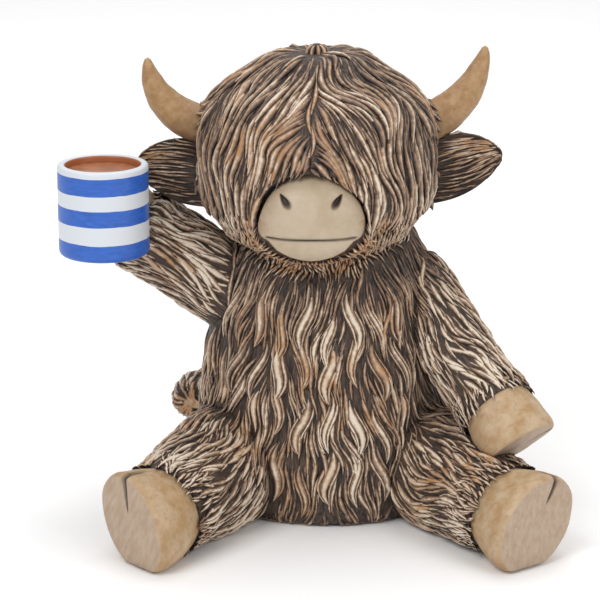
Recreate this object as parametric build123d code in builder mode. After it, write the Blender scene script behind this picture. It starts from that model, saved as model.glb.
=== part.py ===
from build123d import *

# Seated long-haired cow figurine that holds up a mug: hand-painted castings, glued and pinned together.
# Millimetres. +X is to the viewer's right, +Y away from the viewer, +Z up.
# The origin is on the table, under the middle of the felt base.
# Left and right in the names are the cow's own, so its right side lies at -X.

import os
from math import cos, pi, radians, sin

# Shared fits and cuts
pin_clearance = 0.05
glue_gap = 0.10
cut_overrun = 60.0

# Felt under the body and the legs
felt_thickness = 1.0
felt_edge_offset = 3.0
foot_pad_diameter = 9.0
foot_pad_place_share = 0.86

# Torso, a hollow casting with a pour hole in its floor
torso_width = 78.0
torso_depth = 73.0
torso_height = 91.0
torso_wall = 6.0
torso_floor = 7.0
pour_hole_diameter = 24.0
plug_thickness = 5.0
# Each row: height up the torso, then width and depth there
torso_shares = [
    (0.00, 0.90, 0.90),
    (0.12, 1.00, 1.00),
    (0.32, 1.00, 0.99),
    (0.52, 0.95, 0.93),
    (0.72, 0.86, 0.84),
    (0.88, 0.70, 0.70),
    (1.00, 0.52, 0.54),
]

# Main locks of the torso's coat: leaf-shaped ridges in staggered tiers, each bent like an S
torso_lock_length = 20.0
torso_lock_width = 5.6
torso_lock_height = 1.3
torso_lock_sway = 1.6
torso_lock_slant = 4.5
torso_locks_per_tier = 16
# Heights up the torso at which the tiers hang
torso_lock_tier_shares = [0.30, 0.47, 0.64, 0.81]
# The locks of each tier that hang free of the limbs, the head and the tail, counted round from the left side
torso_lock_numbers = [
    [1, 2, 3, 12],
    [0, 1, 2, 3, 11, 12],
    [1, 2, 3, 4, 5, 6, 7, 9, 10, 11, 12, 13],
    [1, 2, 3, 4, 5, 6, 10, 11, 12, 13],
]
# Each row: place along a lock, then its width and its height there
torso_lock_shares = [(0.00, 0.30, 0.35), (0.30, 0.85, 0.88), (0.62, 1.00, 1.00), (1.00, 0.14, 0.45)]

# Head, set forward on the neck and leaning towards the mug
head_width = 62.0
head_depth = 60.0
head_height = 57.0
head_lean = -3.6
head_forward = 8.0
neck_overlap = 13.0
head_shares = [
    (0.00, 0.52, 0.70),
    (0.12, 0.78, 0.87),
    (0.30, 0.96, 0.96),
    (0.50, 1.00, 1.00),
    (0.70, 0.95, 0.95),
    (0.86, 0.74, 0.74),
    (0.95, 0.50, 0.50),
    (1.00, 0.26, 0.26),
]

# Fringe, a thick mop of hair over the skull with an arch left open for the muzzle
fringe_thickness = 3.8
fringe_lift = 7.0
fringe_arch_margin = 0.4
crown_tuft_radius = 2.2
crown_tuft_height = 2.6
crown_tuft_taper_angle = 24.0
fringe_shares = [
    (0.00, 0.78, 0.84),
    (0.12, 0.90, 0.93),
    (0.27, 1.00, 1.00),
    (0.48, 1.00, 1.00),
    (0.70, 0.94, 0.94),
    (0.84, 0.74, 0.74),
    (0.93, 0.53, 0.53),
    (1.00, 0.24, 0.24),
]

# Muzzle, with its nostrils and the line of the mouth
muzzle_width = 32.0
muzzle_height = 26.5
muzzle_reach = 8.5
muzzle_root = 14.0
muzzle_side = -1.4
muzzle_height_share = 0.32
muzzle_flat_share = 0.44
# Each row: place from the root to the front, then size there
muzzle_shares = [(0.00, 0.90), (0.40, 0.99), (0.66, 1.00), (0.86, 0.88), (1.00, 0.56)]
nostril_length = 5.0
nostril_width = 2.2
nostril_depth = 3.0
nostril_slant_angle = 35.0
nostril_side_share = 0.24
nostril_height_share = 0.17
mouth_width_share = 0.74
mouth_height_share = -0.24
mouth_gap = 0.8
mouth_depth = 3.2
mouth_sag = 0.9

# Horns, each a short straight root and a tapering upward curve
horn_base_radius = 6.0
horn_root = 12.0
horn_height_share = 0.665
horn_back_share = 0.06
horn_shares = [(0.00, 1.00), (0.30, 0.93), (0.58, 0.76), (0.82, 0.48), (0.95, 0.25), (1.00, 0.12)]
right_horn_curve_radius = 21.0
right_horn_start_angle = 5.0
right_horn_sweep_angle = 83.0
left_horn_curve_radius = 29.0
left_horn_start_angle = 20.0
left_horn_sweep_angle = 63.0
horn_pin_diameter = 2.0
horn_pin_length = 14.0

# Ears, cupped towards the viewer
right_ear_length = 33.5
left_ear_length = 35.0
ear_height = 20.0
ear_cup = 4.5
ear_wall = 3.0
ear_edge_share = 0.5
right_ear_rise = 4.5
left_ear_rise = 7.0
ear_back = 2.0
ear_root_share = 0.66
ear_height_share = 0.385
ear_shares = [(0.00, 0.72), (0.30, 0.96), (0.55, 1.00), (0.76, 0.82), (0.91, 0.48), (1.00, 0.12)]

# Arms, round and tapering; the right one is raised and the left one hangs
right_arm_radius = 13.0
left_arm_radius = 11.4
arm_shares = [(0.00, 1.06), (0.35, 1.00), (0.70, 0.94), (1.00, 1.00)]
shoulder_side_share = 0.30
shoulder_forward_share = 0.02
right_shoulder_height_share = 0.675
right_arm_side = 34.0
right_arm_rise = 22.7
right_arm_forward = 0.0
left_shoulder_height_share = 0.75
left_arm_side = 26.4
left_arm_drop = 31.5
left_arm_forward = 33.0

# Legs, stretched forward and outward, flattened underneath
hip_radius = 19.5
leg_shares = [(0.00, 1.00), (0.40, 0.91), (0.78, 0.78), (1.00, 0.69)]
hip_side_share = 0.30
hip_forward_share = 0.08
hip_height = 15.5
right_leg_side = 25.5
left_leg_side = 28.5
leg_forward = 48.5
leg_drop = 2.2

# Hooves: oval, with a cleft from the sole up over the toe
hind_hoof_length = 14.0
hind_hoof_toe_radius = 15.9
hind_hoof_side_radius = 12.4
right_hind_toe_angle = 36.0
left_hind_toe_angle = -42.0
right_hind_cleft_angle = 8.0
left_hind_cleft_angle = -25.0
right_hind_splay_angle = 20.0
left_hind_splay_angle = 6.0
fore_hoof_length = 13.0
fore_hoof_toe_radius = 12.4
fore_hoof_side_radius = 11.2
left_fore_toe_angle = -82.0
right_fore_toe_angle = 0.0
left_fore_cleft_angle = -61.0
right_fore_cleft_angle = 0.0
left_fore_dip_angle = 13.0
# Each row: place from the ankle to the sole, then the toe radius and the side radius there
hoof_shares = [(0.00, 0.84, 0.98), (0.35, 0.94, 1.00), (0.82, 1.00, 1.00), (1.00, 0.95, 0.94)]
cleft_width = 1.8
cleft_reach_share = 0.80
cleft_rise_share = 0.72

# Tail, curled round from the back to the cow's right side
tail_radius = 3.6
tail_tuft_radius = 6.6
tail_height = 20.0
tail_rise = 8.0
tail_start_angle = 80.0
tail_sweep_angle = 95.0
tail_stand_share = 0.8
tail_shares = [(0.00, 0.00), (0.30, 0.10), (0.55, 0.45), (0.75, 1.00), (0.90, 0.80), (1.00, 0.30)]

# Mug, nested in the raised hoof, and the drink that fills it
mug_radius = 13.4
mug_height = 27.2
mug_wall = 2.4
mug_floor = 4.0
mug_edge_round = 1.0
mug_base_round = 1.6
mug_cradle = 4.4
mug_side = 3.6
mug_lift = 7.2
drink_drop = 2.6
mug_pin_diameter = 2.0
mug_pin_length = 9.0

# Steel pins that tie the arms and legs to the torso
limb_pin_diameter = 3.0
limb_pin_length = 16.0

# Levels and centres that several castings share
torso_bottom = felt_thickness
torso_top = torso_bottom + torso_height
head_bottom = torso_top - neck_overlap
head_centre = Vector(head_lean, -head_forward, head_bottom)
crown = head_bottom + head_height
RIGHT = -1
LEFT = 1


def oval(plane, half_width, half_depth):
    """An elliptical section on a plane, for a loft."""
    with BuildSketch(plane) as section:
        Ellipse(half_width, half_depth)
    return section.sketch


def standing_ovals(centre, height, width, depth, shares):
    """Level oval sections one above another, from a centre at the bottom."""
    return [
        oval(Plane(centre + Vector(0, 0, height * up)), width * wide / 2, depth * deep / 2)
        for up, wide, deep in shares
    ]


def limb_sections(start, end, radius, shares):
    """Round sections square to the line from start to end."""
    axis = end - start
    return [
        oval(Plane(start + axis * along, z_dir=axis), radius * thick, radius * thick)
        for along, thick in shares
    ]


def leaving_point(casting, start, direction):
    """The point where an axis that starts inside a casting comes out of it."""
    hits = casting.find_intersection_points(Axis(start, direction))
    return max((hit[0] for hit in hits), key=lambda point: (point - start).dot(direction))


def pin_along(point, direction, diameter, length):
    """A round pin centred on a glue joint."""
    with BuildPart(Plane(point, z_dir=direction)) as pin:
        Cylinder(diameter / 2, length)
    return pin.part


def pin_hole(point, direction, diameter, length):
    """The hole that such a pin drops into, with its clearance all round."""
    return pin_along(point, direction, diameter + 2 * pin_clearance, length + 2 * pin_clearance)


def under_floor(level):
    """The space below a level, which flattens the undersides that rest there."""
    with BuildPart(Plane.XY.offset(level)) as space:
        Box(2 * cut_overrun + torso_width, 2 * cut_overrun + torso_depth, cut_overrun,
            align=(Align.CENTER, Align.CENTER, Align.MAX))
    return space.part


# Outer forms: each is the shape that its neighbours are cut to
with BuildPart() as torso_form:
    loft(
        sections=standing_ovals(
            Vector(0, 0, torso_bottom), torso_height, torso_width, torso_depth, torso_shares
        )
    )

with BuildPart() as head_form:
    loft(sections=standing_ovals(head_centre, head_height, head_width, head_depth, head_shares))

floor_space = under_floor(torso_bottom)


# Places of the limbs, worked out from the torso
def shoulder(side, height_share):
    """The centre of a shoulder, inside the torso."""
    return Vector(
        side * torso_width * shoulder_side_share,
        -torso_depth * shoulder_forward_share,
        torso_bottom + torso_height * height_share,
    )


def hip(side):
    """The centre of a hip, inside the torso."""
    return Vector(side * torso_width * hip_side_share, -torso_depth * hip_forward_share, hip_height)


right_shoulder = shoulder(RIGHT, right_shoulder_height_share)
left_shoulder = shoulder(LEFT, left_shoulder_height_share)
right_wrist = right_shoulder + Vector(-right_arm_side, -right_arm_forward, right_arm_rise)
left_wrist = left_shoulder + Vector(left_arm_side, -left_arm_forward, -left_arm_drop)
right_hip = hip(RIGHT)
left_hip = hip(LEFT)
right_ankle = right_hip + Vector(-right_leg_side, -leg_forward, -leg_drop)
left_ankle = left_hip + Vector(left_leg_side, -leg_forward, -leg_drop)
right_arm_axis = (right_wrist - right_shoulder).normalized()
left_arm_axis = (left_wrist - left_shoulder).normalized()
right_leg_axis = (right_ankle - right_hip).normalized()
left_leg_axis = (left_ankle - left_hip).normalized()

# The mug stands in front of the raised hoof and sinks into it by the depth of its cradle
right_hoof_middle = right_wrist + right_arm_axis * (fore_hoof_length / 2)
mug_centre = right_hoof_middle + Vector(
    -mug_side, -(fore_hoof_side_radius + mug_radius - mug_cradle), mug_lift - mug_height / 2
)

with BuildPart() as mug_form:
    with Locations(mug_centre):
        Cylinder(mug_radius, mug_height, align=(Align.CENTER, Align.CENTER, Align.MIN))

# Pins: where each limb's axis leaves the torso, and where the mug meets the hoof
limb_seats = [
    (leaving_point(torso_form.part, start, axis), axis)
    for start, axis in (
        (right_shoulder, right_arm_axis),
        (left_shoulder, left_arm_axis),
        (right_hip, right_leg_axis),
        (left_hip, left_leg_axis),
    )
]
mug_pin_direction = Vector(0, 1, 0)
mug_pin_point = mug_centre + Vector(0, mug_radius, mug_height / 2)


def horn_path(side, curve, start, sweep, share):
    """A point on a horn's centre line past its root, and the direction there."""
    angle = radians(start + sweep * share)
    first = radians(start)
    out = curve * (sin(angle) - sin(first))
    up = curve * (cos(first) - cos(angle))
    base = head_centre + Vector(
        side * head_width / 2,
        head_depth * horn_back_share,
        head_height * horn_height_share,
    )
    return base + Vector(side * out, 0, up), Vector(side * cos(angle), 0, sin(angle))


def horn_pin_seat(side, curve, start, sweep):
    """Where a horn's axis leaves the skull, and its direction there."""
    base, direction = horn_path(side, curve, start, sweep, 0)
    return leaving_point(head_form.part, base - direction * horn_root * 2, direction), direction


horn_seats = [
    horn_pin_seat(RIGHT, right_horn_curve_radius, right_horn_start_angle, right_horn_sweep_angle),
    horn_pin_seat(LEFT, left_horn_curve_radius, left_horn_start_angle, left_horn_sweep_angle),
]


def horn_form(side, curve, start, sweep):
    """A horn's outer form: round sections along its root and its curve."""
    base, direction = horn_path(side, curve, start, sweep, 0)
    across = Vector(0, 1, 0)
    root_plane = Plane(base - direction * horn_root, across, direction)
    sections = [oval(root_plane, horn_base_radius, horn_base_radius)]
    for share, thick in horn_shares:
        point, tangent = horn_path(side, curve, start, sweep, share)
        radius = horn_base_radius * thick
        sections.append(oval(Plane(point, across, tangent), radius, radius))
    with BuildPart() as form:
        loft(sections=sections)
    return form.part


def make_horn(form, seat):
    """A horn: its form seated on the skull and bored for its pin."""
    with BuildPart() as horn:
        add(form)
        add(head_form.part, mode=Mode.SUBTRACT)
        add(pin_hole(*seat, horn_pin_diameter, horn_pin_length), mode=Mode.SUBTRACT)
    return horn.part


def ear_section(plane, half_height, cup, wall):
    """A cupped strip: two arcs joined by short edges, hollow towards the viewer."""
    edge = wall * ear_edge_share
    with BuildSketch(plane) as section:
        with BuildLine():
            ThreePointArc((-half_height, 0), (0, cup), (half_height, 0))
            Line((half_height, 0), (half_height, edge))
            ThreePointArc((half_height, edge), (0, cup + wall), (-half_height, edge))
            Line((-half_height, edge), (-half_height, 0))
        make_face()
    return section.sketch


def make_ear(side, length, rise, horn):
    """An ear: cupped strips from its root on the skull to its tip, cleared round the horn above it."""
    root = head_centre + Vector(side * head_width / 2 * ear_root_share, 0, head_height * ear_height_share)
    reach = Vector(side * length, ear_back, rise)
    sections = [
        ear_section(
            Plane(root + reach * along, x_dir=Vector(0, 0, -side), z_dir=Vector(side, 0, 0)),
            ear_height / 2 * tall,
            ear_cup * tall,
            ear_wall * (tall + 1) / 2,
        )
        for along, tall in ear_shares
    ]
    with BuildPart() as ear:
        loft(sections=sections)
        add(head_form.part, mode=Mode.SUBTRACT)
        add(horn, mode=Mode.SUBTRACT)
    return ear.part


def hoof_plane(origin, axis, toe_turn):
    """A plane square to a hoof's axis whose X points at the toe, turned from straight up."""
    upward = Vector(0, 0, 1) - axis * axis.Z
    return Plane(origin, x_dir=upward.rotate(Axis((0, 0, 0), axis), toe_turn), z_dir=axis)


def make_hoof(ankle, limb_axis, sole_axis, toe_turn, cleft_turn, length, toe_radius, side_radius):
    """A hoof: ovals that bend from the limb's axis to the sole's, with a tapering cleft near the toe."""
    sections = []
    for along, toe_size, side_size in hoof_shares:
        bend = along * along / 2
        centre = ankle + limb_axis * (length * (along - bend)) + sole_axis * (length * bend)
        axis = (limb_axis * (1 - along) + sole_axis * along).normalized()
        plane = hoof_plane(centre, axis, toe_turn)
        sections.append(oval(plane, toe_radius * toe_size, side_radius * side_size))
    with BuildPart() as hoof:
        loft(sections=sections)
        with BuildSketch(hoof_plane(centre, sole_axis, cleft_turn)):
            with BuildLine():
                Polyline(
                    (toe_radius * (1 - cleft_reach_share), 0),
                    (toe_radius, cleft_width / 2),
                    (toe_radius + cleft_width, cleft_width / 2),
                    (toe_radius + cleft_width, -cleft_width / 2),
                    (toe_radius, -cleft_width / 2),
                    close=True,
                )
            make_face()
        extrude(amount=-length * cleft_rise_share, mode=Mode.SUBTRACT)
    return hoof.part


def make_leg(start, ankle, seat):
    """A leg: a tapering limb cut to the torso, flattened underneath and bored for its pin."""
    with BuildPart() as leg:
        loft(sections=limb_sections(start, ankle, hip_radius, leg_shares))
        add(torso_form.part, mode=Mode.SUBTRACT)
        add(floor_space, mode=Mode.SUBTRACT)
        add(pin_hole(*seat, limb_pin_diameter, limb_pin_length), mode=Mode.SUBTRACT)
    return leg.part


def make_arm(start, wrist, radius, seat, neighbour):
    """An arm: a tapering limb cut to the torso and to what it lies against, and bored for its pin."""
    with BuildPart() as arm:
        loft(sections=limb_sections(start, wrist, radius, arm_shares))
        add(torso_form.part, mode=Mode.SUBTRACT)
        add(head_form.part, mode=Mode.SUBTRACT)
        add(neighbour, mode=Mode.SUBTRACT)
        add(pin_hole(*seat, limb_pin_diameter, limb_pin_length), mode=Mode.SUBTRACT)
    return arm.part


def make_torso_lock(top, turn, sway):
    """A lock of the torso's coat: a leaf-shaped ridge that hangs in an S from a level and an angle."""
    slant = -torso_lock_slant * sin(2 * turn)
    points = []
    for along, _, _ in torso_lock_shares:
        aside = slant * along + sway * sin(2 * pi * along)
        angle = turn + aside / (torso_width / 2)
        start = Vector(0, 0, top - torso_lock_length * along)
        points.append(leaving_point(torso_form.part, start, Vector(cos(angle), sin(angle), 0)))
    sections = []
    for number, (_, wide, high) in enumerate(torso_lock_shares):
        point = points[number]
        heading = points[min(number + 1, len(points) - 1)] - points[max(number - 1, 0)]
        across = Vector(point.X, point.Y, 0).cross(heading)
        plane = Plane(point, x_dir=across, z_dir=heading)
        sections.append(oval(plane, torso_lock_width / 2 * wide, torso_lock_height * high))
    with BuildPart() as lock:
        loft(sections=sections)
    return lock.part


# Plug that closes the pour hole, flush with the underside
with BuildPart(Plane.XY.offset(torso_bottom)) as base_plug:
    Cylinder(pour_hole_diameter / 2 - glue_gap, plug_thickness, align=(Align.CENTER, Align.CENTER, Align.MIN))

# Felt glued over the torso's underside
_, footprint_width_share, footprint_depth_share = torso_shares[0]
with BuildPart() as base_felt:
    with BuildSketch():
        Ellipse(
            torso_width * footprint_width_share / 2 - felt_edge_offset,
            torso_depth * footprint_depth_share / 2 - felt_edge_offset,
        )
    extrude(amount=felt_thickness)

# Felt dots under the legs, where they lie on the table
with BuildPart() as foot_pads:
    for start, ankle in ((right_hip, right_ankle), (left_hip, left_ankle)):
        spot = start + (ankle - start) * foot_pad_place_share
        with Locations((spot.X, spot.Y, 0)):
            Cylinder(foot_pad_diameter / 2, felt_thickness, align=(Align.CENTER, Align.CENTER, Align.MIN))

# Horns and ears
right_horn_form = horn_form(RIGHT, right_horn_curve_radius, right_horn_start_angle, right_horn_sweep_angle)
left_horn_form = horn_form(LEFT, left_horn_curve_radius, left_horn_start_angle, left_horn_sweep_angle)
right_horn = make_horn(right_horn_form, horn_seats[0])
left_horn = make_horn(left_horn_form, horn_seats[1])
right_ear = make_ear(RIGHT, right_ear_length, right_ear_rise, right_horn_form)
left_ear = make_ear(LEFT, left_ear_length, left_ear_rise, left_horn_form)

# Legs and arms
right_leg = make_leg(right_hip, right_ankle, limb_seats[2])
left_leg = make_leg(left_hip, left_ankle, limb_seats[3])
right_arm = make_arm(right_shoulder, right_wrist, right_arm_radius, limb_seats[0], mug_form.part)
left_arm = make_arm(left_shoulder, left_wrist, left_arm_radius, limb_seats[1], left_leg)

# Head: solid, with a pocket for the neck and sockets for the horn pins
with BuildPart() as head:
    add(head_form.part)
    add(torso_form.part, mode=Mode.SUBTRACT)
    for seat_point, seat_axis in horn_seats:
        add(pin_hole(seat_point, seat_axis, horn_pin_diameter, horn_pin_length), mode=Mode.SUBTRACT)

# Muzzle: an egg-shaped outline that swells forward from the head and rounds off
muzzle_front = head_forward + head_depth / 2 + muzzle_reach
muzzle_length = muzzle_reach + muzzle_root
muzzle_level = head_bottom + head_height * muzzle_height_share


def face_plane(distance):
    """An upright plane through the muzzle's middle line, facing the viewer at a distance in front."""
    return Plane((head_lean + muzzle_side, -distance, muzzle_level), x_dir=(1, 0, 0), z_dir=(0, -1, 0))


def muzzle_section(distance, size):
    """The muzzle's outline at a distance in front: a low wide egg."""
    half_width = muzzle_width / 2 * size
    half_height = muzzle_height / 2 * size
    low = -half_height * muzzle_flat_share
    with BuildSketch(face_plane(distance)) as section:
        with BuildLine():
            EllipticalCenterArc((0, low), half_width, half_height - low, 0, arc_size=180)
            EllipticalCenterArc((0, low), half_width, half_height + low, 180, arc_size=180)
        make_face()
    return section.sketch


with BuildPart() as muzzle:
    loft(
        sections=[
            muzzle_section(muzzle_front - muzzle_length * (1 - along), size) for along, size in muzzle_shares
        ]
    )
    add(head_form.part, mode=Mode.SUBTRACT)
    for side in (RIGHT, LEFT):
        nostril_side = side * muzzle_width * nostril_side_share
        nostril_level = muzzle_height * nostril_height_share
        with BuildSketch(face_plane(muzzle_front)):
            with Locations(Location((nostril_side, nostril_level), side * nostril_slant_angle)):
                Ellipse(nostril_width / 2, nostril_length / 2)
        extrude(amount=-(nostril_depth + muzzle_reach / 2), mode=Mode.SUBTRACT)
    with BuildSketch(face_plane(muzzle_front)):
        mouth_half = muzzle_width / 2 * mouth_width_share
        mouth_level = muzzle_height * mouth_height_share
        with BuildLine():
            ThreePointArc(
                (-mouth_half, mouth_level - mouth_sag),
                (0, mouth_level),
                (mouth_half, mouth_level - mouth_sag),
            )
            Line((mouth_half, mouth_level - mouth_sag), (mouth_half, mouth_level - mouth_sag - mouth_gap))
            ThreePointArc(
                (mouth_half, mouth_level - mouth_sag - mouth_gap),
                (0, mouth_level - mouth_gap),
                (-mouth_half, mouth_level - mouth_sag - mouth_gap),
            )
            Line((-mouth_half, mouth_level - mouth_sag - mouth_gap), (-mouth_half, mouth_level - mouth_sag))
        make_face()
    extrude(amount=-(mouth_depth + muzzle_reach / 2), mode=Mode.SUBTRACT)

# Fringe: a cap over the skull, arched over the muzzle, with a small tuft on the crown
with BuildPart() as fringe:
    loft(
        sections=standing_ovals(
            head_centre + Vector(0, 0, fringe_lift),
            head_height - fringe_lift + fringe_thickness,
            head_width + 2 * fringe_thickness,
            head_depth + 2 * fringe_thickness,
            fringe_shares,
        )
    )
    with BuildSketch(Plane((head_centre.X, head_centre.Y, crown + fringe_thickness))):
        Circle(crown_tuft_radius)
    extrude(amount=crown_tuft_height, taper=crown_tuft_taper_angle)
    with BuildSketch(face_plane(head_forward)):
        Ellipse(muzzle_width / 2 + fringe_arch_margin, muzzle_height / 2 + fringe_arch_margin)
        with Locations((0, -muzzle_height / 2)):
            Rectangle(muzzle_width + 2 * fringe_arch_margin, muzzle_height)
    extrude(amount=head_depth, mode=Mode.SUBTRACT)
    for neighbour in (head_form.part, torso_form.part, right_horn_form, left_horn_form, right_ear, left_ear):
        add(neighbour, mode=Mode.SUBTRACT)

# Hooves
right_hind_hoof = make_hoof(
    right_ankle, right_leg_axis, right_leg_axis.rotate(Axis.Z, -right_hind_splay_angle),
    right_hind_toe_angle, right_hind_cleft_angle,
    hind_hoof_length, hind_hoof_toe_radius, hind_hoof_side_radius,
)
left_hind_hoof = make_hoof(
    left_ankle, left_leg_axis, left_leg_axis.rotate(Axis.Z, left_hind_splay_angle),
    left_hind_toe_angle, left_hind_cleft_angle,
    hind_hoof_length, hind_hoof_toe_radius, hind_hoof_side_radius,
)

# Mug: a straight-sided cup with rounded edges
with BuildPart() as mug:
    add(mug_form.part)
    fillet(mug.edges().group_by(Axis.Z)[0], mug_base_round)
    with Locations(mug_centre + Vector(0, 0, mug_floor)):
        Cylinder(mug_radius - mug_wall, mug_height,
                 align=(Align.CENTER, Align.CENTER, Align.MIN), mode=Mode.SUBTRACT)
    fillet(mug.edges().group_by(Axis.Z)[-1], mug_edge_round)
    add(pin_hole(mug_pin_point, mug_pin_direction, mug_pin_diameter, mug_pin_length), mode=Mode.SUBTRACT)

# Drink: a tinted fill that stands a little below the rim
with BuildPart() as drink:
    with Locations(mug_centre + Vector(0, 0, mug_floor)):
        Cylinder(mug_radius - mug_wall, mug_height - mug_floor - drink_drop,
                 align=(Align.CENTER, Align.CENTER, Align.MIN))
    add(pin_hole(mug_pin_point, mug_pin_direction, mug_pin_diameter, mug_pin_length), mode=Mode.SUBTRACT)

# Fore hooves: the raised one is hollowed to cradle the mug, the other is cut to the leg it rests over
with BuildPart() as right_fore_hoof:
    add(make_hoof(right_wrist, right_arm_axis, right_arm_axis, right_fore_toe_angle, right_fore_cleft_angle,
                  fore_hoof_length, fore_hoof_toe_radius, fore_hoof_side_radius))
    add(mug_form.part, mode=Mode.SUBTRACT)
    add(pin_hole(mug_pin_point, mug_pin_direction, mug_pin_diameter, mug_pin_length), mode=Mode.SUBTRACT)

with BuildPart() as left_fore_hoof:
    left_fore_sole_axis = left_arm_axis.rotate(Axis.X, left_fore_dip_angle)
    add(make_hoof(left_wrist, left_arm_axis, left_fore_sole_axis, left_fore_toe_angle, left_fore_cleft_angle,
                  fore_hoof_length, fore_hoof_toe_radius, fore_hoof_side_radius))
    add(left_leg, mode=Mode.SUBTRACT)

# Tail: round sections along a curve that hugs the torso, swelling to a tuft
tail_sections = []
for along, swell in tail_shares:
    turn = radians(tail_start_angle + tail_sweep_angle * along)
    thick = tail_radius + (tail_tuft_radius - tail_radius) * swell
    place = Vector(
        (torso_width / 2 + thick * tail_stand_share) * cos(turn),
        (torso_depth / 2 + thick * tail_stand_share) * sin(turn),
        tail_height + tail_rise * along,
    )
    heading = Vector(-sin(turn) * torso_width, cos(turn) * torso_depth, tail_rise)
    tail_sections.append(oval(Plane(place, x_dir=Vector(0, 0, 1), z_dir=heading), thick, thick))
with BuildPart() as tail:
    loft(sections=tail_sections)
    add(torso_form.part, mode=Mode.SUBTRACT)

# Main locks of the torso's coat, cut to whatever lies against the torso
with BuildPart() as torso_locks:
    add([
        make_torso_lock(
            torso_bottom + torso_height * height_share,
            2 * pi * (number + tier % 2 / 2) / torso_locks_per_tier,
            torso_lock_sway * (-1) ** (number + tier),
        )
        for tier, height_share in enumerate(torso_lock_tier_shares)
        for number in torso_lock_numbers[tier]
    ])
    add([right_leg, left_leg, right_arm, left_arm, head.part, fringe.part, tail.part], mode=Mode.SUBTRACT)

# Torso: a hollow casting with its main locks, its pour hole and the sockets of the limb pins
with BuildPart() as torso_cavity:
    loft(
        sections=standing_ovals(
            Vector(0, 0, torso_bottom + torso_floor),
            torso_height - torso_floor - torso_wall,
            torso_width - 2 * torso_wall,
            torso_depth - 2 * torso_wall,
            torso_shares,
        )
    )
    with Locations((0, 0, torso_bottom)):
        Cylinder(pour_hole_diameter / 2, torso_floor + torso_wall,
                 align=(Align.CENTER, Align.CENTER, Align.MIN))
    add([
        pin_hole(seat_point, seat_axis, limb_pin_diameter, limb_pin_length)
        for seat_point, seat_axis in limb_seats
    ])
with BuildPart() as torso:
    add(torso_form.part)
    add(torso_locks.part.solids())
    add(torso_cavity.part, mode=Mode.SUBTRACT)

# Steel pins, each in its two sockets
with BuildPart() as limb_pins:
    for seat_point, seat_axis in limb_seats:
        add(pin_along(seat_point, seat_axis, limb_pin_diameter, limb_pin_length))
with BuildPart() as horn_pins:
    for seat_point, seat_axis in horn_seats:
        add(pin_along(seat_point, seat_axis, horn_pin_diameter, horn_pin_length))
mug_pin = pin_along(mug_pin_point, mug_pin_direction, mug_pin_diameter, mug_pin_length)

# Hooves that lie on the table are flattened there
with BuildPart() as right_hind_sole:
    add(right_hind_hoof)
    add(floor_space, mode=Mode.SUBTRACT)
with BuildPart() as left_hind_sole:
    add(left_hind_hoof)
    add(floor_space, mode=Mode.SUBTRACT)

pieces = {
    "torso": torso.part,
    "base_plug": base_plug.part,
    "base_felt": base_felt.part,
    "foot_pads": foot_pads.part,
    "head": head.part,
    "fringe": fringe.part,
    "muzzle": muzzle.part,
    "right_horn": right_horn,
    "left_horn": left_horn,
    "horn_pins": horn_pins.part,
    "right_ear": right_ear,
    "left_ear": left_ear,
    "right_arm": right_arm,
    "left_arm": left_arm,
    "right_leg": right_leg,
    "left_leg": left_leg,
    "limb_pins": limb_pins.part,
    "right_fore_hoof": right_fore_hoof.part,
    "left_fore_hoof": left_fore_hoof.part,
    "right_hind_hoof": right_hind_sole.part,
    "left_hind_hoof": left_hind_sole.part,
    "tail": tail.part,
    "mug": mug.part,
    "drink": drink.part,
    "mug_pin": mug_pin,
}

os.makedirs("parts", exist_ok=True)
for name, piece in pieces.items():
    piece.label = name
    export_step(piece, f"parts/{name}.step")
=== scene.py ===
"""Looks of the seated cow figurine.

Modelled hair locks lie over the castings, and painted forms stand for its hooves, horns, muzzle and mug.
Sizes are millimetres in the frame of the castings, and MM turns them into metres.
Left and right are the cow's own, so its right side lies at -X. The cow faces -Y.
"""

import logging
import math
from dataclasses import dataclass, field
from enum import Enum
from functools import partial
from typing import Callable, NamedTuple

import bpy
import numpy as np
from mathutils import Matrix, Quaternion, Vector, noise
from mathutils.bvhtree import BVHTree
from mathutils.kdtree import KDTree


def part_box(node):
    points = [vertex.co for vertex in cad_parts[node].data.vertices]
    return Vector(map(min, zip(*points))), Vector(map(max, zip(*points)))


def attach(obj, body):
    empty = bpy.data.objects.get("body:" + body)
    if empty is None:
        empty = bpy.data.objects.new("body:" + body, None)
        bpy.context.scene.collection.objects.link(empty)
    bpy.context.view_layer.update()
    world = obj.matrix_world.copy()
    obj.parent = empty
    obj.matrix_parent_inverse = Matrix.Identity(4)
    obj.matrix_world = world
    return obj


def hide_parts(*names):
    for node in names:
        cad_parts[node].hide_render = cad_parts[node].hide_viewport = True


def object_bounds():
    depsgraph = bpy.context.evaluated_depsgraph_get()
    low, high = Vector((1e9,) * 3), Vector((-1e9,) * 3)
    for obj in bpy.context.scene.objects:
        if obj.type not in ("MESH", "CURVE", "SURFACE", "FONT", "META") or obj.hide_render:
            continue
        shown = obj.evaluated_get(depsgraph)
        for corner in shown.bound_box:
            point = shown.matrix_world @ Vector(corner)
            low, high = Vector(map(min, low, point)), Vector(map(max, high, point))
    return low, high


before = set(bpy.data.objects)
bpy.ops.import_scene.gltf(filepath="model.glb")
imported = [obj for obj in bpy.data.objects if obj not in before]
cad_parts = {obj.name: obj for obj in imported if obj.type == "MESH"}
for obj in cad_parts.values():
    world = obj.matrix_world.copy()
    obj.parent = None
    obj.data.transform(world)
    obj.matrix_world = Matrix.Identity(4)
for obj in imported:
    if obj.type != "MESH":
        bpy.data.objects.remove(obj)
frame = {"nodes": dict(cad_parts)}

LOG = logging.getLogger("cow_figurine")
MM = 0.001
ROOT_BODY = "root"
FEWEST_POINTS = 4
CAD_BOX = [list(corner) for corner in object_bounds()]

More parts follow.
